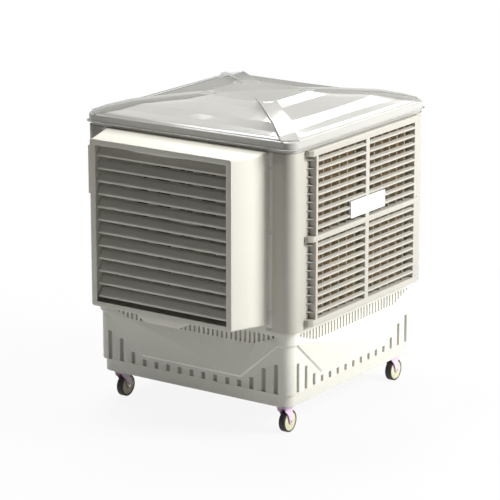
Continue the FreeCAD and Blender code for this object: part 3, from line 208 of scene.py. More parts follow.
def plastic(name, colour, shade, gloss, grain=(900.0, 0.1), wave=0.1, dust=0.3, coat=0.0):
    """Moulded plastic: two near tints, uneven gloss, fine grain and dust low down."""
    material, tree, shader = new_material(name)
    surface = tree.add("Group", {"node_tree": MOULD_GRAIN})
    for socket, value in (("Grain Size", grain[0]), ("Grain Depth", grain[1]), ("Wave", wave),
                          ("Gloss Low", gloss[0]), ("Gloss High", gloss[1])):
        tree.feed(surface, socket, value)
    dirt = tree.add("Group", {"node_tree": LOW_DUST}, Amount=dust)
    tint = blend_colours(tree, surface.outputs["Mottle"], colour, shade)
    dusty = blend_colours(tree, dirt.outputs["Mask"], tint, DUST_BROWN)
    tree.feed(shader, "Base Color", dusty)
    tree.feed(shader, "Roughness", surface.outputs["Roughness"])
    tree.feed(shader, "Normal", surface.outputs["Normal"])
    shader.inputs["Coat Weight"].default_value = coat
    return material


def metal(name, colour, gloss, streaks, metallic=1.0):
    """Metal, or paint on metal, with fine streaks and faint stains."""
    material, tree, shader = new_material(name)
    spot = object_place(tree)
    stretched = tree.add("Mapping", Vector=spot)
    stretched.inputs["Scale"].default_value = streaks
    lines = tree.add("TexNoise", Vector=stretched.outputs["Vector"], Scale=60.0, Detail=4.0)
    stains = tree.add("TexNoise", Vector=spot, Scale=35.0, Detail=5.0)
    darker = tuple(0.72 * part for part in colour)
    tree.feed(shader, "Base Color", blend_colours(tree, stains.outputs["Fac"], colour, darker))
    tree.feed(shader, "Roughness", tree.scaled(lines.outputs["Fac"], *gloss))
    bump = tree.add("Bump", Height=lines.outputs["Fac"], Strength=0.15, Distance=0.0003)
    tree.feed(shader, "Normal", bump.outputs["Normal"])
    shader.inputs["Metallic"].default_value = metallic
    return material


def make_pad_paper():
    """Tan cellulose paper with fibres and darker damp patches."""
    material, tree, shader = new_material("pad_paper")
    spot = object_place(tree)
    fibres = tree.add("TexNoise", Vector=spot, Scale=420.0, Detail=6.0, Roughness=0.7)
    patches = tree.add("TexNoise", Vector=spot, Scale=9.0, Detail=4.0)
    tan = tree.ramp(fibres.outputs["Fac"], [(0.3, (0.52, 0.40, 0.22)), (0.7, (0.80, 0.66, 0.42))])
    damp = tree.ramp(patches.outputs["Fac"], [(0.4, (1, 1, 1)), (0.7, (0.72, 0.68, 0.62))])
    colour = tree.add("Mix", {"data_type": "RGBA", "blend_type": "MULTIPLY"})
    tree.feed(colour, "Factor", 1.0)
    tree.tree.links.new(tan, colour.inputs[6])
    tree.tree.links.new(damp, colour.inputs[7])
    tree.feed(shader, "Base Color", colour.outputs[2])
    tree.feed(shader, "Roughness", tree.scaled(fibres.outputs["Fac"], 0.82, 0.97))
    bump = tree.add("Bump", Height=fibres.outputs["Fac"], Strength=0.5, Distance=0.0006)
    tree.feed(shader, "Normal", bump.outputs["Normal"])
    return material


CASE_PLASTIC = plastic("case_plastic", (0.72, 0.70, 0.625), (0.69, 0.67, 0.595), (0.30, 0.38))
POST_PLASTIC = plastic("post_plastic", (0.49, 0.472, 0.416), (0.462, 0.444, 0.393), (0.30, 0.38))
TANK_PLASTIC = plastic("tank_plastic", (0.74, 0.73, 0.66), (0.70, 0.69, 0.62), (0.34, 0.44), dust=0.45)
LID_PLASTIC = plastic("lid_plastic", (0.49, 0.485, 0.455), (0.47, 0.465, 0.435), (0.10, 0.16),
                      grain=(700.0, 0.03), wave=0.06, dust=0.0, coat=0.4)
# Slot and flute floors: a darker plastic that is painted shade in the hollows, with dust low down.
RECESS_PAINTED_SHADE = plastic("recess_painted_shade", (0.40, 0.39, 0.35), (0.36, 0.35, 0.31), (0.45, 0.55), dust=0.5)
# Apron bevels: a lighter plastic that is a painted highlight.
APRON_PAINTED_HIGHLIGHT = plastic("apron_painted_highlight", (0.90, 0.89, 0.82), (0.87, 0.86, 0.79), (0.34, 0.44), dust=0.2)
PLATE_PLASTIC = plastic("plate_plastic", (0.90, 0.90, 0.88), (0.86, 0.86, 0.84), (0.2, 0.3))
PAD_PAPER = make_pad_paper()
MOTOR_METAL = metal("motor_metal", (0.12, 0.125, 0.13), (0.35, 0.55), (1, 1, 6), 0.0)
GUARD_WIRE = metal("guard_wire", (0.55, 0.55, 0.53), (0.3, 0.45), (1, 1, 1), 0.2)
FAN_PLASTIC = plastic("fan_plastic", (0.10, 0.11, 0.12), (0.07, 0.08, 0.09), (0.35, 0.5), dust=0.0)
FITTING_PLASTIC = plastic("fitting_plastic", (0.55, 0.55, 0.53), (0.47, 0.47, 0.45), (0.3, 0.45))
CASTOR_METAL = metal("castor_metal", (0.62, 0.61, 0.59), (0.25, 0.45), (8, 1, 1))
FORK_PLASTIC = plastic("fork_plastic", (0.80, 0.60, 0.80), (0.74, 0.54, 0.74), (0.28, 0.4), dust=0.15)
WHEEL_RUBBER = plastic("wheel_rubber", (0.014, 0.012, 0.016), (0.022, 0.019, 0.024), (0.6, 0.8),
                       grain=(500.0, 0.3), dust=0.2)
WHEEL_DISC = plastic("wheel_disc", (0.68, 0.66, 0.46), (0.62, 0.60, 0.41), (0.35, 0.5), dust=0.15)
KNOB_PLASTIC = plastic("knob_plastic", (0.05, 0.05, 0.055), (0.04, 0.04, 0.045), (0.25, 0.35))

SLOT_MATERIALS = {
    "case_plastic": CASE_PLASTIC, "tank_plastic": TANK_PLASTIC, "lid_plastic": LID_PLASTIC,
    "plate_plastic": PLATE_PLASTIC, "pad_paper": PAD_PAPER, "motor_metal": MOTOR_METAL,
    "guard_wire": GUARD_WIRE, "fan_plastic": FAN_PLASTIC, "fitting_plastic": FITTING_PLASTIC,
    "castor_metal": CASTOR_METAL, "fork_plastic": FORK_PLASTIC, "wheel_rubber": WHEEL_RUBBER,
    "knob_plastic": KNOB_PLASTIC,
}
NODE_SLOTS = {part["node"]: part["material_slot"] for part in frame["record"]["subparts"]}
NODE_BODIES = {node: body for body, nodes in frame["record"]["behaviour"]["bodies"].items()
               for node in nodes}
for node, solid in frame["nodes"].items():
    solid.data.materials.clear()
    solid.data.materials.append(SLOT_MATERIALS[NODE_SLOTS[node]])

# Modelling helpers. An edit acts on what is selected, so each one starts with nothing selected.

def clear():
    if bpy.context.object and bpy.context.object.mode != "OBJECT":
        bpy.ops.object.mode_set(mode="OBJECT")
    bpy.ops.object.select_all(action="DESELECT")


def pick(piece):
    clear()
    piece.select_set(True)
    bpy.context.view_layer.objects.active = piece


def settle(piece):
    """Put a piece's place, turn and size into its mesh."""
    pick(piece)
    bpy.ops.object.transform_apply(location=True, rotation=True, scale=True)
    return piece


def block(name, x, y, z):
    """A box between three (low, high) pairs."""
    clear()
    low, high = place(x[0], y[0], z[0]), place(x[1], y[1], z[1])
    bpy.ops.mesh.primitive_cube_add(size=1, location=(low + high) / 2)
    piece = bpy.context.object
    piece.name = name
    piece.scale = high - low
    return settle(piece)


TURNS = {"x": (0, math.pi / 2, 0), "y": (math.pi / 2, 0, 0), "z": (0, 0, 0)}


def drum(name, spot, axis, radius, length, sides):
    """A cylinder about a middle point, along x, y or z."""
    clear()
    bpy.ops.mesh.primitive_cylinder_add(vertices=sides, radius=radius / 1000, depth=length / 1000,
                                        location=place(*spot), rotation=TURNS[axis])
    piece = bpy.context.object
    piece.name = name
    return settle(piece)


def edit(piece):
    pick(piece)
    bpy.ops.object.mode_set(mode="EDIT")


def leave():
    bpy.ops.object.mode_set(mode="OBJECT")


def choose(kind, test):
    """Select what passes a test. It gets a face's middle and normal, an edge's ends or a corner."""
    bpy.ops.mesh.select_mode(type=kind)
    bpy.ops.mesh.select_all(action="DESELECT")
    mesh = bmesh.from_edit_mesh(bpy.context.object.data)
    if kind == "FACE":
        for face in mesh.faces:
            face.select_set(test(case_mm(face.calc_center_median()), face.normal))
    elif kind == "EDGE":
        for edge in mesh.edges:
            edge.select_set(test(*(case_mm(vertex.co) for vertex in edge.verts)))
    else:
        for vertex in mesh.verts:
            vertex.select_set(test(case_mm(vertex.co)))
    mesh.select_flush_mode()
    bmesh.update_edit_mesh(bpy.context.object.data)


def slide(x=0, y=0, z=0):
    bpy.ops.transform.translate(value=(x / 1000, y / 1000, z / 1000))


def pull(x=0, y=0, z=0):
    """Extrude the chosen faces by a step."""
    bpy.ops.mesh.extrude_region_move(TRANSFORM_OT_translate={"value": (x / 1000, y / 1000, z / 1000)})


def spread(x=1, y=1, z=1, about=(0, 0, 0)):
    bpy.ops.transform.resize(value=(x, y, z), center_override=place(*about))


def upright(a, b):
    """Whether an edge stands upright, for choose()."""
    return abs(a.x - b.x) < 0.01 and abs(a.y - b.y) < 0.01 and abs(a.z - b.z) > 0.01


def round_edges(test, radius, steps=6):
    choose("EDGE", test)
    bpy.ops.mesh.bevel(offset=radius / 1000, segments=steps, affect="EDGES")


def finish_chosen(index):
    """Give the chosen faces the piece's material of that number."""
    bpy.context.object.active_material_index = index
    bpy.ops.object.material_slot_assign()


def apply_modifier(piece, kind, **settings):
    pick(piece)
    modifier = piece.modifiers.new(kind.lower(), kind)
    for name, value in settings.items():
        setattr(modifier, name, value)
    bpy.ops.object.modifier_apply(modifier=modifier.name)


def soften(piece, width, steps=2, angle=30):
    """Round every sharp edge a little and shade the rest smooth."""
    apply_modifier(piece, "BEVEL", width=width / 1000, segments=steps, limit_method="ANGLE",
                   angle_limit=math.radians(angle), miter_outer="MITER_ARC")
    smooth(piece)


def smooth(piece, angle=35):
    pick(piece)
    bpy.ops.object.shade_smooth_by_angle(angle=math.radians(angle))


def tidy_mesh(piece):
    """Merge doubles and point the faces outwards."""
    edit(piece)
    bpy.ops.mesh.select_all(action="SELECT")
    bpy.ops.mesh.remove_doubles(threshold=0.00001)
    bpy.ops.mesh.normals_make_consistent(inside=False)
    leave()


def merge(name, *pieces):
    """Join pieces into the first one."""
    clear()
    for piece in pieces:
        piece.select_set(True)
    bpy.context.view_layer.objects.active = pieces[0]
    bpy.ops.object.join()
    pieces[0].name = name
    return pieces[0]


def carve(piece, cutter):
    """Cut one piece's shape out of another."""
    apply_modifier(piece, "BOOLEAN", operation="DIFFERENCE", solver="EXACT", object=cutter)
    bpy.data.objects.remove(cutter)


def twin(piece, name):
    """A copy with its own mesh."""
    copy = piece.copy()
    copy.data = piece.data.copy()
    copy.name = name
    bpy.context.scene.collection.objects.link(copy)
    return copy


def turned(piece, name, degrees):
    """A copy turned about the case's upright axis."""
    copy = twin(piece, name)
    axis = Matrix.Translation(place(0, 0, 0))
    copy.matrix_world = axis @ Matrix.Rotation(math.radians(degrees), 4, "Z") @ axis.inverted()
    return settle(copy)


def four_sides(piece):
    """A front piece with its copies for the right, the rear and the left."""
    return [piece] + [turned(piece, piece.name, 90 * side) for side in (1, 2, 3)]


def moved(piece, name, y):
    """A copy set further along Y."""
    copy = twin(piece, name)
    copy.location = (0, y / 1000, 0)
    return settle(copy)


def row(piece, count, x=0, y=0, z=0):
    """Repeat a piece in its own mesh, a step apart."""
    apply_modifier(piece, "ARRAY", count=count, use_relative_offset=False, use_constant_offset=True,
                   constant_offset_displace=(x / 1000, y / 1000, z / 1000))
    return piece


def dress(piece, material, body, slot, *nodes):
    """Give a piece its material and its body, and hide the nodes it stands for. The slot is not used."""
    piece.data.materials.clear()
    piece.data.materials.append(material)
    return hang(piece, body, slot, *nodes)


def hang(piece, body, slot, *nodes):
    """Give a piece that has its material the rest."""
    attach(piece, body)
    if nodes:
        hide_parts(*nodes)
    return piece


def dressed_node(node, width, steps=2):
    """A solid from the frame with its sharp edges rounded."""
    copy = twin(frame["nodes"][node], node + "_dressed")
    copy.parent = None
    copy.matrix_world = Matrix()
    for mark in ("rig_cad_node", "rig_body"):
        del copy[mark]
    edit(copy)
    bpy.ops.mesh.select_all(action="SELECT")
    bpy.ops.mesh.customdata_custom_splitnormals_clear()
    bpy.ops.mesh.remove_doubles(threshold=0.00001)
    bpy.ops.mesh.dissolve_limited(angle_limit=math.radians(1))
    leave()
    soften(copy, width, steps)
    return hang(copy, NODE_BODIES[node], NODE_SLOTS[node], node)


# Sizes that several pieces share

CASE_HALF = 550
CORNER = 54
CASE_FOOT, CASE_TOP = 489.4, 1279
FRONT_FACE, OUTLET_FACE = -737.8, -744
OUTLET_HALF, OUTLET_FOOT, OUTLET_HEAD = 374, 521, 1272


# The tank

SLOT_FLOOR, FLUTE_FLOOR, APRON_FACE = 509.5, 518, 527
SLOT_FOOT, SLOT_TOP = 200, 231
RAISED_SLOT_TOPS = {5: 255, 6: 307, 7: 334}
SKIRT_HALF = 508

# Height and half width of each level: up the outside, over the lip and down to the tank's floor.
TANK_PROFILE = ((196.5, 519), (412, 519), (425, APRON_FACE), (469, APRON_FACE), (469, 532), (489, 532),
                (489, 507), (208, 507), (208, 496), (152, 496))


def rounded_block(name, half, corner, low, high):
    """A square block with round upright edges, left in edit mode."""
    piece = block(name, (-half, half), (-half, half), (low, high))
    edit(piece)
    round_edges(upright, corner, 8)
    return piece


def ring_up(level, from_half, to_half):
    """Carry the top face on to a level, then draw it in or out."""
    mesh = bmesh.from_edit_mesh(bpy.context.object.data)
    top = max(face.calc_center_median().z for face in mesh.faces if face.select)
    pull(z=level - top * 1000)
    share = to_half / from_half
    spread(share, share, 1)


def climb(half, profile):
    """Carry the top face through the levels of a profile."""
    choose("FACE", lambda spot, normal: normal.z > 0.9)
    for level, reach in profile:
        ring_up(level, half, reach)
        half = reach


def slot_cutter(middle, width, low, high, depth_from, depth_to):
    """A bar with round corners, to cut an upright slot in the front wall."""
    cutter = block("slot_cutter", (middle - width / 2, middle + width / 2), (-depth_to, -depth_from),
                   (low, high))
    edit(cutter)
    round_edges(lambda a, b: abs(a.x - b.x) < 0.01 and abs(a.z - b.z) < 0.01, width * 0.16, 3)
    leave()
    return cutter


def tank_apron():
    """The front wall's raised panel, narrow at its foot, with a bevel below."""
    half, foot_half, foot, bevel = 473, 267, 255, 13
    apron = block("tank_apron", (-half, half), (-APRON_FACE, -FLUTE_FLOOR), (foot, 430))
    edit(apron)
    choose("VERT", lambda spot: spot.z < 300)
    spread(foot_half / half, 1, 1)
    choose("VERT", lambda spot: spot.y > -520 and spot.z < 300)
    slide(z=-bevel)
    leave()
    return apron


def tank_recesses():
    """One cutter for the front wall's slots and the flutes above its apron."""
    pitch, width = 64.3, 22
    cutters = []
    for step in range(-7, 8):
        top = RAISED_SLOT_TOPS.get(abs(step), SLOT_TOP)
        cutters.append(slot_cutter(pitch * step, width, SLOT_FOOT, top, SLOT_FLOOR, 530))
    pitch, width, foot, top = 24.5, 11, 412, 465
    level_half, last_half, least = 330, 475, 10
    for step in range(-19, 20):
        middle = pitch * step
        low = foot + max(0, abs(middle) - level_half) * (top - foot) / (last_half - level_half)
        if top - low > least:
            cutters.append(slot_cutter(middle, width, low, top, FLUTE_FLOOR, 540))
    return merge("cutters", *cutters)


def out_from_middle(spot):
    return max(abs(spot.x), abs(spot.y))


def make_tank():
    tank = rounded_block("tank_shell", SKIRT_HALF, CORNER, 140, 196.5)
    climb(SKIRT_HALF, TANK_PROFILE)
    leave()
    apron = tank_apron()
    recesses = tank_recesses()
    for part in four_sides(apron):
        apply_modifier(tank, "BOOLEAN", operation="UNION", solver="EXACT", object=part)
        bpy.data.objects.remove(part)
    carve(tank, merge("cutters", *four_sides(recesses)))
    carve(tank, drum("inlet_hole", (-520, 250, 440), "x", 10.8, 60, 32))
    carve(tank, drum("drain_hole", (-505, -300, 170), "x", 13.3, 60, 32))
    tidy_mesh(tank)
    dress(tank, TANK_PLASTIC, "case", "tank_plastic", "water_tank")
    tank.data.materials.append(RECESS_PAINTED_SHADE)
    tank.data.materials.append(APRON_PAINTED_HIGHLIGHT)
    edit(tank)
    # Painted shade: the floors of the slots and flutes take the darker plastic.
    choose("FACE", lambda spot, normal: abs(normal.z) < 0.1 and spot.z < 466
           and min(abs(out_from_middle(spot) - floor) for floor in (SLOT_FLOOR, FLUTE_FLOOR)) < 0.3)
    finish_chosen(1)
    # Painted highlight: the aprons' bevel faces take the lighter plastic.
    choose("FACE", lambda spot, normal: 242 < spot.z < 411 and normal.z < 0.1
           and FLUTE_FLOOR + 1.5 < out_from_middle(spot) < APRON_FACE - 0.5)
    finish_chosen(2)
    leave()
    soften(tank, 1.4, 2, 28)


# The lid

LID_HALF, LID_FOOT, LID_CORNER = 545, 1279.3, 52

# Height and half width of each level: out to the drip lip, up the rim and down its inside.
RIM_PROFILE = ((1294.5, 560), (1298, 560), (1298, 552), (1326, 552), (1331.4, 546),
               (1331.4, 540), (1322, 536), (1300, 533), (LID_FOOT, 533))

# Each level of the dome: reach and height at a side's middle, then the same near the ribs.
DOME = ((LID_HALF, 1331, LID_HALF, 1331), (500, 1338, 512, 1341), (449, 1345, 482, 1348.5),
        (441, 1348, 474, 1351.5), (412, 1364, 408, 1369.5), (404, 1367, 398, 1372),
        (320, 1375, 330, 1380), (246, 1382, 268, 1386), (239, 1384, 259, 1388.5),
        (197, 1396, 194, 1399), (190, 1398, 186, 1400.6), (60, 1401.8, 60, 1401.9))

# Along a rib, from the corner inwards: reach, then the heights of its underside and top.
RIB_PATH = ((741, 1320, 1337), (676, 1340, 1356), (565, 1358, 1378), (372, 1376, 1393.5),
            (266, 1384, 1400), (200, 1388, 1401.8), (150, 1390, 1401))


def dome_ring(mesh, level, steps=24):
    """One ring of corners round the lid. It rises and bows outwards towards the ribs."""
    reach, height, far_reach, far_height = level
    ring = []
    for side in range(4):
        turn = Matrix.Rotation(side * math.pi / 2, 3, "Z")
        for step in range(steps):
            along = 2 * step / steps - 1
            share = along * along
            out = reach + (far_reach - reach) * share
            up = height + (far_height - height) * share
            cut = max(0, abs(along) - 0.9) * 2.9
            spot = turn @ Vector((out - out * cut * 0.2, along * far_reach * (1 - cut * 0.2), up))
            ring.append(mesh.verts.new(place(*spot)))
    return ring


def make_dome():
    """The lid's pressed top: two terraces whose risers are taller near the ribs."""
    data = bpy.data.meshes.new("lid_dome")
    mesh = bmesh.new()
    rings = [dome_ring(mesh, level) for level in DOME]
    for low, high in zip(rings, rings[1:]):
        for index, corner in enumerate(low):
            after = (index + 1) % len(low)
            mesh.faces.new((corner, low[after], high[after], high[index]))
    mesh.faces.new(rings[-1])
    mesh.to_mesh(data)
    mesh.free()
    dome = bpy.data.objects.new("lid_dome", data)
    bpy.context.scene.collection.objects.link(dome)
    smooth(dome, 8)
    return dome


def diagonal_rib():
    """A band that follows the lid's profile, drawn along X and then turned."""
    half_width, border, hollow = 40, 0.007, 1.5
    (last, last_low, last_high), *rest = RIB_PATH
    last -= 1
    band = block("rib_band", (last, last + 1), (-half_width, half_width), (last_low, last_high))
    edit(band)
    choose("FACE", lambda spot, normal: normal.x < -0.9)
    for end, low, high in rest:
        pull(x=end - last)
        middle = (last_low + last_high) / 2
        choose("VERT", lambda spot: abs(spot.x - end) < 0.01 and spot.z > middle)
        slide(z=high - last_high)
        choose("VERT", lambda spot: abs(spot.x - end) < 0.01
               and spot.z < min(last_high - 4, high - 4, middle))
        slide(z=low - last_low)
        choose("FACE", lambda spot, normal: normal.x < -0.9 and abs(spot.x - end) < 0.01)
        last, last_low, last_high = end, low, high
    leave()
    edit(band)
    choose("FACE", lambda spot, normal: normal.z > 0.3)
    bpy.ops.mesh.inset(thickness=border, use_boundary=True)
    slide(z=-hollow)
    leave()
    soften(band, 1.2, 2, 50)
    smooth(band, 40)
    return band


def make_lid():
    lid = rounded_block("lid_shell", LID_HALF, LID_CORNER, LID_FOOT, 1294.5)
    climb(LID_HALF, RIM_PROFILE)
    bpy.ops.mesh.delete(type="FACE")
    choose("FACE", lambda spot, normal: normal.z < -0.9 and spot.z < 1280 and abs(spot.x) < 10)
    bpy.ops.mesh.delete(type="FACE")
    leave()
    tidy_mesh(lid)
    soften(lid, 1.4, 3, 40)
    dome = make_dome()
    apply_modifier(dome, "SOLIDIFY", thickness=0.0035, offset=-1.0)
    strip = diagonal_rib()
    ribs = [turned(strip, "lid_rib", 45 + 90 * side) for side in range(4)]
    bpy.data.objects.remove(strip)
    lid = merge("lid_shell", lid, dome, *ribs)
    dress(lid, LID_PLASTIC, "case", "lid_plastic", "lid")


# The posts

def make_posts():
    """Four angle posts with round corners, whose edges step back to tabs behind the panels."""
    wall, edge, tab_end = 4, 412, 415
    step, step_depth, tab_depth = 451, 543, 539
    inside = CASE_HALF - wall
    past_ends = (480, 1290)
    height = (CASE_FOOT, CASE_TOP)

    def at_corner(a, b):
        return upright(a, b) and a.x > 540 and a.y < -540

    outer = block("post", (edge, CASE_HALF), (-CASE_HALF, -edge), height)
    edit(outer)
    round_edges(at_corner, CORNER, 10)
    leave()
    inner = block("post_inside", (300, inside), (-inside, -300), past_ends)
    edit(inner)
    round_edges(at_corner, CORNER - wall, 10)
    leave()
    carve(outer, inner)
    for x, y in (((400, step), (-560, -step_depth)), ((step_depth, 560), (-step, -400))):
        carve(outer, block("step_cut", x, y, past_ends))
    join = step + wall
    back = merge("post_tab", block("tab", (tab_end, join), (-step_depth, -tab_depth), height),
                 block("tab", (step, join), (-step_depth - wall, -tab_depth), height),
                 block("tab", (tab_depth, step_depth), (-join, -tab_end), height),
                 block("tab", (tab_depth, step_depth + wall), (-join, -step), height))
    soften(outer, 1.2, 2, 30)
    post = merge("corner_post", outer, back)
    posts = merge("corner_post_set", *four_sides(post))
    dress(posts, POST_PLASTIC, "case", "case_plastic", "corner_posts")


# The grilles and pads

GRILLE_FACE = 585
STILE_INSIDE, STILE_OUTSIDE = 397, 413
WINDOW_TOPS = (880, 1255)
SLATS, SLAT_PITCH = 9, 37
PAD_HALF, PAD_FOOT = 400, 505.6


def bar(low, high):
    """A crossbar whose ends wrap back on to the case."""
    half, wrap, end = 433, 16, 2.5
    piece = block("bar", (549, GRILLE_FACE), (-half, half), (low, high))
    edit(piece)
    for side in (-1, 1):
        choose("FACE", lambda spot, normal: normal.y * side > 0.9)
        pull(y=wrap * side)
        choose("VERT", lambda spot: spot.y * side > 440 and spot.x > 560)
        slide(x=-wrap)
        choose("FACE", lambda spot, normal: normal.y * side > 0.9)
        pull(y=end * side)
        choose("VERT", lambda spot: spot.y * side > 450 and spot.x > 560)
        slide(x=-17)
    leave()
    soften(piece, 3.0, 3, 20)
    return piece


def slat_row(top, y):
    """The slats of one window. Each rises towards its back and thins out there."""
    slat = block("slat", (569, GRILLE_FACE), y, (top - 28, top - 19.5))
    edit(slat)
    choose("VERT", lambda spot: spot.x < 570)
    slide(z=5.5)
    choose("VERT", lambda spot: spot.x < 570 and spot.z < top - 18)
    slide(z=5.5)
    leave()
    soften(slat, 1.3, 3, 20)
    return row(slat, SLATS, z=-SLAT_PITCH)


def fin_row(top, side):
    """The short slats that bend round an upright edge of the grille."""
    inner, outer = STILE_OUTSIDE - 1, 440
    fin = block("fin", (547, 575), sorted((inner * side, outer * side)), (top - 20, top - 15.5))
    edit(fin)
    choose("VERT", lambda spot: spot.x > 560 and abs(spot.y) > 430)
    slide(x=-26, y=-4 * side)
    leave()
    soften(fin, 0.8)
    return row(fin, SLATS, z=-SLAT_PITCH)


def rib_row(window, side):
    """The thin uprights behind one window's slats."""
    middle, half_thick, pitch = side * 78.7, 1.5, 63.7
    rib = block("rib", (553, 567.5), (middle - half_thick, middle + half_thick), window)
    soften(rib, 0.7)
    return row(rib, 5, y=side * pitch)


def make_grille():
    """The right side's grille, with its bars, stiles, slats, ribs and fins."""
    flange_end, mullion = 450.7, (-15, 15)
    parts = [bar(506, 534), bar(880, 905), bar(1255, 1281)]
    for y in ((STILE_INSIDE, STILE_OUTSIDE), (-STILE_OUTSIDE, -STILE_INSIDE), mullion):
        stile = block("stile", (556 if y == mullion else 549, 584), y, (520, 1268))
        soften(stile, 2.0, 3)
        parts.append(stile)
    for y in ((STILE_INSIDE, flange_end), (-flange_end, -STILE_INSIDE)):
        flange = block("flange", (543.3, 548), y, (506, CASE_TOP))
        soften(flange, 0.8)
        parts.append(flange)
    lap = 1
    for top in WINDOW_TOPS:
        for y in ((-STILE_INSIDE - lap, mullion[0] + lap), (mullion[1] - lap, STILE_INSIDE + lap)):
            parts.append(slat_row(top, y))
    for side in (-1, 1):
        for window in ((533, 881), (904, 1256)):
            parts.append(rib_row(window, side))
    for top in WINDOW_TOPS:
        for side in (-1, 1):
            parts.append(fin_row(top, side))
    return merge("right_grille_dressed", *parts)


def make_grilles():
    grille = make_grille()
    for name, degrees in (("rear", 90), ("left", 180)):
        copy = turned(grille, name + "_grille_dressed", degrees)
        dress(copy, POST_PLASTIC, "case", "case_plastic", name + "_grille")
    dress(grille, POST_PLASTIC, "case", "case_plastic", "right_grille")


def make_name_plate():
    plate = block("name_plate_dressed", (576, 588.2), (-140, 140), (925, 1000))
    edit(plate)
    round_edges(lambda a, b: abs(a.x - b.x) > 5, 3, 3)
    leave()
    soften(plate, 0.8, 2)
    dress(plate, PLATE_PLASTIC, "case", "plate_plastic", "name_plate")


FLUTE_RISE = 3.1


def pad_sheet(phase):
    """One fluted sheet of a pad. Its edge waves up the face and its flutes lean inwards."""
    face, depth, reach, lean = 543, 26, 3.3, 7
    sheet = block("sheet", (face - depth, face), (-PAD_HALF - 1, -PAD_HALF),
                  (PAD_FOOT, PAD_FOOT + FLUTE_RISE))
    edit(sheet)
    choose("FACE", lambda spot, normal: normal.y > -0.9)
    bpy.ops.mesh.delete(type="FACE")
    leave()
    edit(sheet)
    waves = [phase * reach, 0, -phase * reach, 0]
    for step, shift in enumerate(waves[:3]):
        top = PAD_FOOT + FLUTE_RISE * (step + 1)
        choose("EDGE", lambda a, b: min(a.z, b.z) > top - 0.5)
        bpy.ops.mesh.extrude_edges_move(
            TRANSFORM_OT_translate={"value": (0, (shift - waves[step - 1]) / 1000, FLUTE_RISE / 1000)})
    choose("VERT", lambda spot: spot.x < face - depth / 2)
    slide(z=-lean)
    leave()
    return sheet


def make_pad(name, degrees):
    """Two facing sheets repeated over the pad's face, with the pad's body behind them."""
    pitch = 13.8
    first, second = pad_sheet(1), pad_sheet(-1)
    facing = moved(second, "sheet", pitch / 2)
    bpy.data.objects.remove(second)
    pair = merge("pad_pair", first, facing)
    apply_modifier(pair, "ARRAY", count=60, use_relative_offset=False, use_constant_offset=True,
                   constant_offset_displace=(0, 0, 4 * FLUTE_RISE / 1000), use_merge_vertices=True,
                   merge_threshold=0.0002)
    row(pair, 58, y=pitch)
    edit(pair)
    choose("VERT", lambda spot: spot.z < PAD_FOOT)
    spread(1, 1, 0, about=(0, 0, PAD_FOOT + 0.2))
    leave()
    smooth(pair, 60)
    core = block("pad_core", (443, 517.5), (-PAD_HALF, PAD_HALF), (PAD_FOOT, 1260.7))
    soften(core, 1.5)
    whole = merge(name + "_dressed", pair, core)
    pad = turned(whole, name + "_face", degrees)
    bpy.data.objects.remove(whole)
    dress(pad, PAD_PAPER, "case", "pad_paper", name)


# The outlet

def make_hood():
    """A square duct that narrows towards its mouth."""
    half, foot, head = 431, 514, CASE_TOP
    hood = block("outlet_hood_dressed", (-half, half), (FRONT_FACE + 0.1, -548.3), (foot, head))
    edit(hood)
    choose("VERT", lambda spot: spot.y < -700)
    spread(OUTLET_HALF / half, 1, (OUTLET_HEAD - OUTLET_FOOT) / (head - foot), about=(0, 0, 896.5))
    round_edges(lambda a, b: abs(a.y - b.y) > 100, 12, 5)
    choose("FACE", lambda spot, normal: abs(normal.y) > 0.9)
    bpy.ops.mesh.delete(type="FACE")
    leave()
    apply_modifier(hood, "SOLIDIFY", thickness=0.004, offset=-1.0)
    tidy_mesh(hood)
    soften(hood, 0.8, 2, 50)
    dress(hood, CASE_PLASTIC, "case", "case_plastic", "outlet_hood")


def make_louvre_frame():
    """Flat lip round the outlet, the sleeve behind it and the chin that hangs over the tank."""
    lip = block("louvre_frame_dressed", (-OUTLET_HALF, OUTLET_HALF), (OUTLET_FACE, FRONT_FACE),
                (OUTLET_FOOT, OUTLET_HEAD))
    edit(lip)
    round_edges(lambda a, b: abs(a.y - b.y) > 3, 12, 5)
    leave()
    carve(lip, block("opening", (-346, 346), (-760, -700), (543, 1246)))
    wall, half, foot, head = 4, 356, 532, 1266
    sleeve = block("sleeve", (-half, half), (-738, -622), (foot, head))
    carve(sleeve, block("opening", (wall - half, half - wall), (-760, -600), (foot + wall, head - wall)))
    half, foot_half, rake = 137, 89, 9
    chin = block("chin", (-half, half), (OUTLET_FACE, -596), (487, OUTLET_FOOT + 0.5))
    edit(chin)
    choose("VERT", lambda spot: spot.z < 500)
    spread(foot_half / half, 1, 1)
    choose("VERT", lambda spot: spot.z < 500 and spot.y < -700)
    slide(y=rake)
    leave()
    soften(lip, 1.6, 3, 30)
    soften(chin, 2.5, 3, 20)
    frame_piece = merge("louvre_frame_dressed", lip, sleeve, chin)
    smooth(frame_piece, 30)
    dress(frame_piece, CASE_PLASTIC, "case", "case_plastic", "louvre_frame")


def make_louvre(number):
    """A blade drawn in at its back, so that a dark gap shows over the next one down."""
    back, blade_half, draw = -689, 344.8, 13
    blade = dressed_node(f"louvre_{number:02d}", 0.5)
    edit(blade)
    choose("VERT", lambda spot: spot.y > back and abs(spot.x) < blade_half)
    slide(y=-draw, z=-draw)
    leave()


# Castors

WHEEL_RADIUS, WHEEL_WIDTH, CASTOR_TRAIL = 50, 30, 28
CASTOR_REACH = 444

# Insets of a wheel's face from the tread inwards, each with its step out, in metres.
WHEEL_STEPS = ((0.0015, -0.0022), (0.002, 0.001), (0.022, 0.0008), (0.001, 0.0022))


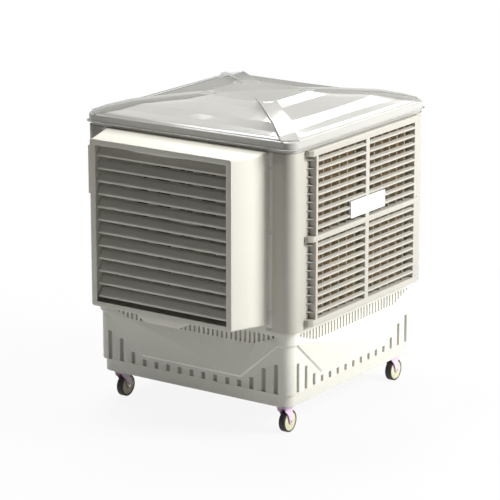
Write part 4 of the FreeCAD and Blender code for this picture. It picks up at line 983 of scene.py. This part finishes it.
def make_wheel(corner, x, y):
    """Black tread round a pale disc with a raised hub."""
    axle = y + CASTOR_TRAIL
    wheel = drum("castor_wheel_" + corner + "_dressed", (x, axle, WHEEL_RADIUS), "x", WHEEL_RADIUS,
                 WHEEL_WIDTH, 64)
    dress(wheel, WHEEL_RUBBER, "wheel_" + corner, "wheel_rubber", "castor_wheel_" + corner)
    wheel.data.materials.append(WHEEL_DISC)
    edit(wheel)
    round_edges(lambda a, b: abs(a.x - b.x) < 0.01, 2.5, 3)
    choose("FACE", lambda spot, normal: abs(normal.x) > 0.9
           and abs(abs(spot.x - x) - WHEEL_WIDTH / 2) < 0.01 and abs(spot.y - axle) < 3)
    bpy.ops.mesh.inset(thickness=0.006)
    finish_chosen(1)
    for thickness, rise in WHEEL_STEPS:
        bpy.ops.mesh.inset(thickness=thickness)
        bpy.ops.transform.shrink_fatten(value=rise)
    leave()
    smooth(wheel, 35)


def make_castor(corner, x, y):
    make_wheel(corner, x, y)
    dressed_node("castor_fork_" + corner, 2.2, 3)
    for side in (-1, 1):
        name = "axle_" + corner + ("_outer" if side * x > 0 else "_inner")
        head = drum(name, (x + side * 21.6, y + CASTOR_TRAIL, WHEEL_RADIUS), "x", 5.5, 1.6, 24)
        soften(head, 0.6)
        dress(head, CASTOR_METAL, "fork_" + corner, "castor_metal")


# Solids that keep the frame's shape, each with the width of its rounded edges
EDGE_WIDTHS = {
    "front_panel": 0.6, "panel_screws": 0.4, "base_frame": 1.5, "swing_motor": 1.0, "fan_motor": 1.5,
    "fan_ring": 0.8, "motor_bracket": 0.8, "water_pump": 1.0, "riser_pipe": 0.5, "water_header": 0.5,
    "float_valve": 0.5, "drain_plug": 0.6, "cable_gland": 0.5, "control_box": 2.0,
    "castor_plates": 0.6, "fan_rotor": 0.8, "float_arm": 0.6, "speed_knob": 0.6,
    "louvre_tie_bar": 0.4, "vane_tie_bar": 0.4,
}

make_tank()
make_lid()
make_posts()
make_grilles()
for pad_name, pad_turn in (("right_pad", 0), ("rear_pad", 90), ("left_pad", 180)):
    make_pad(pad_name, pad_turn)
make_hood()
make_louvre_frame()
make_name_plate()
for node, width in EDGE_WIDTHS.items():
    dressed_node(node, width)
for number in range(1, 13):
    make_louvre(number)
for corner, x, y in (("front_right", CASTOR_REACH, -CASTOR_REACH),
                     ("rear_right", CASTOR_REACH, CASTOR_REACH),
                     ("rear_left", -CASTOR_REACH, CASTOR_REACH),
                     ("front_left", -CASTOR_REACH, -CASTOR_REACH)):
    make_castor(corner, x, y)
for corner in ("front_right", "rear_right"):
    dressed_node("brake_pedal_" + corner, 1.0)
for number in range(1, 6):
    dressed_node(f"vane_{number}", 0.4)


# Floor, lamps and camera

def make_floor():
    """Pale floor that shows the cooler's shadow and looks white to the camera."""
    clear()
    bpy.ops.mesh.primitive_plane_add(size=60, location=(0, 0, 0))
    floor = bpy.context.object
    floor.name = "floor"
    material, tree, shader = new_material("floor_white")
    spot = object_place(tree)
    noise = tree.add("TexNoise", Vector=spot, Scale=3.0, Detail=3.0)
    tree.feed(shader, "Base Color", tree.ramp(noise.outputs["Fac"], [(0.3, (0.60, 0.60, 0.60)),
                                                                    (0.7, (0.62, 0.62, 0.62))]))
    shader.inputs["Roughness"].default_value = 0.9
    path = tree.add("LightPath")
    seen = tree.add("Math", {"operation": "MAXIMUM"})
    tree.feed(seen, "#0", path.outputs["Is Camera Ray"])
    tree.feed(seen, "#1", path.outputs["Is Glossy Ray"])
    white = tree.add("Emission", Color=(1, 1, 1, 1), Strength=1.0)
    reach = tree.add("VectorMath", {"operation": "LENGTH"})
    tree.feed(reach, "#0", spot)
    fade = tree.add("MapRange", Value=reach.outputs["Value"])
    for socket, value in (("From Min", 1.0), ("From Max", 2.6), ("To Min", 0.9), ("To Max", 1.0)):
        tree.feed(fade, socket, value)
    part = tree.add("Math", {"operation": "MULTIPLY"})
    tree.feed(part, "#0", seen.outputs[0])
    tree.feed(part, "#1", fade.outputs["Result"])
    mix = tree.add("MixShader", Fac=part.outputs[0])
    tree.tree.links.new(shader.outputs["BSDF"], mix.inputs[1])
    tree.tree.links.new(white.outputs["Emission"], mix.inputs[2])
    output = material.node_tree.nodes["Material Output"]
    tree.tree.links.new(mix.outputs["Shader"], output.inputs["Surface"])
    floor.data.materials.append(material)


def make_world():
    """A faint even fill on the object, and white behind it."""
    world = bpy.data.worlds.new("studio")
    bpy.context.scene.world = world
    world.use_nodes = True
    tree = Tree(world.node_tree)
    world.node_tree.nodes.clear()
    path = tree.add("LightPath")
    seen = tree.add("Math", {"operation": "MAXIMUM"})
    tree.feed(seen, "#0", path.outputs["Is Camera Ray"])
    tree.feed(seen, "#1", path.outputs["Is Transmission Ray"])
    fill = tree.add("Background", Color=(1, 1, 1, 1), Strength=0.08)
    white = tree.add("Background", Color=(1, 1, 1, 1), Strength=1.0)
    mix = tree.add("MixShader", Fac=seen.outputs[0])
    tree.tree.links.new(fill.outputs[0], mix.inputs[1])
    tree.tree.links.new(white.outputs[0], mix.inputs[2])
    tree.tree.links.new(mix.outputs[0], tree.add("OutputWorld").inputs["Surface"])


def lamp(name, spot, target, size, power):
    data = bpy.data.lights.new(name, "AREA")
    data.shape = "RECTANGLE"
    data.size, data.size_y = size
    data.energy = power
    light = bpy.data.objects.new(name, data)
    bpy.context.scene.collection.objects.link(light)
    light.location = spot
    light.rotation_euler = (Vector(target) - Vector(spot)).to_track_quat("-Z", "Y").to_euler()
    return light


def make_camera():
    """The photograph's place and angle, as fitted to the case's corners."""
    azimuth, elevation = math.radians(34.45), math.radians(15.14)
    right = Vector((math.cos(azimuth), math.sin(azimuth), 0))
    back = Vector((math.sin(azimuth) * math.cos(elevation), -math.cos(azimuth) * math.cos(elevation),
                   math.sin(elevation)))
    up = back.cross(right)
    data = bpy.data.cameras.new("camera")
    data.lens = 183.6
    data.sensor_width = 36
    data.clip_end = 100
    camera = bpy.data.objects.new("camera", data)
    bpy.context.scene.collection.objects.link(camera)
    camera.matrix_world = Matrix.Translation(place(6297.2, -9239.7, 3688.1)) @ Matrix(
        (right, up, back)).transposed().to_4x4()
    bpy.context.scene.camera = camera


make_floor()
make_world()
lamp("right_lamp", (5.8, 1.9, 3.9), (0, 0, 0.8), (2.6, 2.6), 660)
lamp("top_lamp", (-1.5, 0.1, 5.2), (0, 0, 1.0), (2.6, 2.2), 210)
lamp("back_lamp", (-1.4, 5.2, 5.2), (0, 0, 1.0), (5.0, 2.2), 220)
lamp("front_lamp", (-1.5, -7, 2.2), (0, 0, 0.8), (3, 3), 8)
make_camera()
bpy.context.scene.view_settings.view_transform = "Standard"
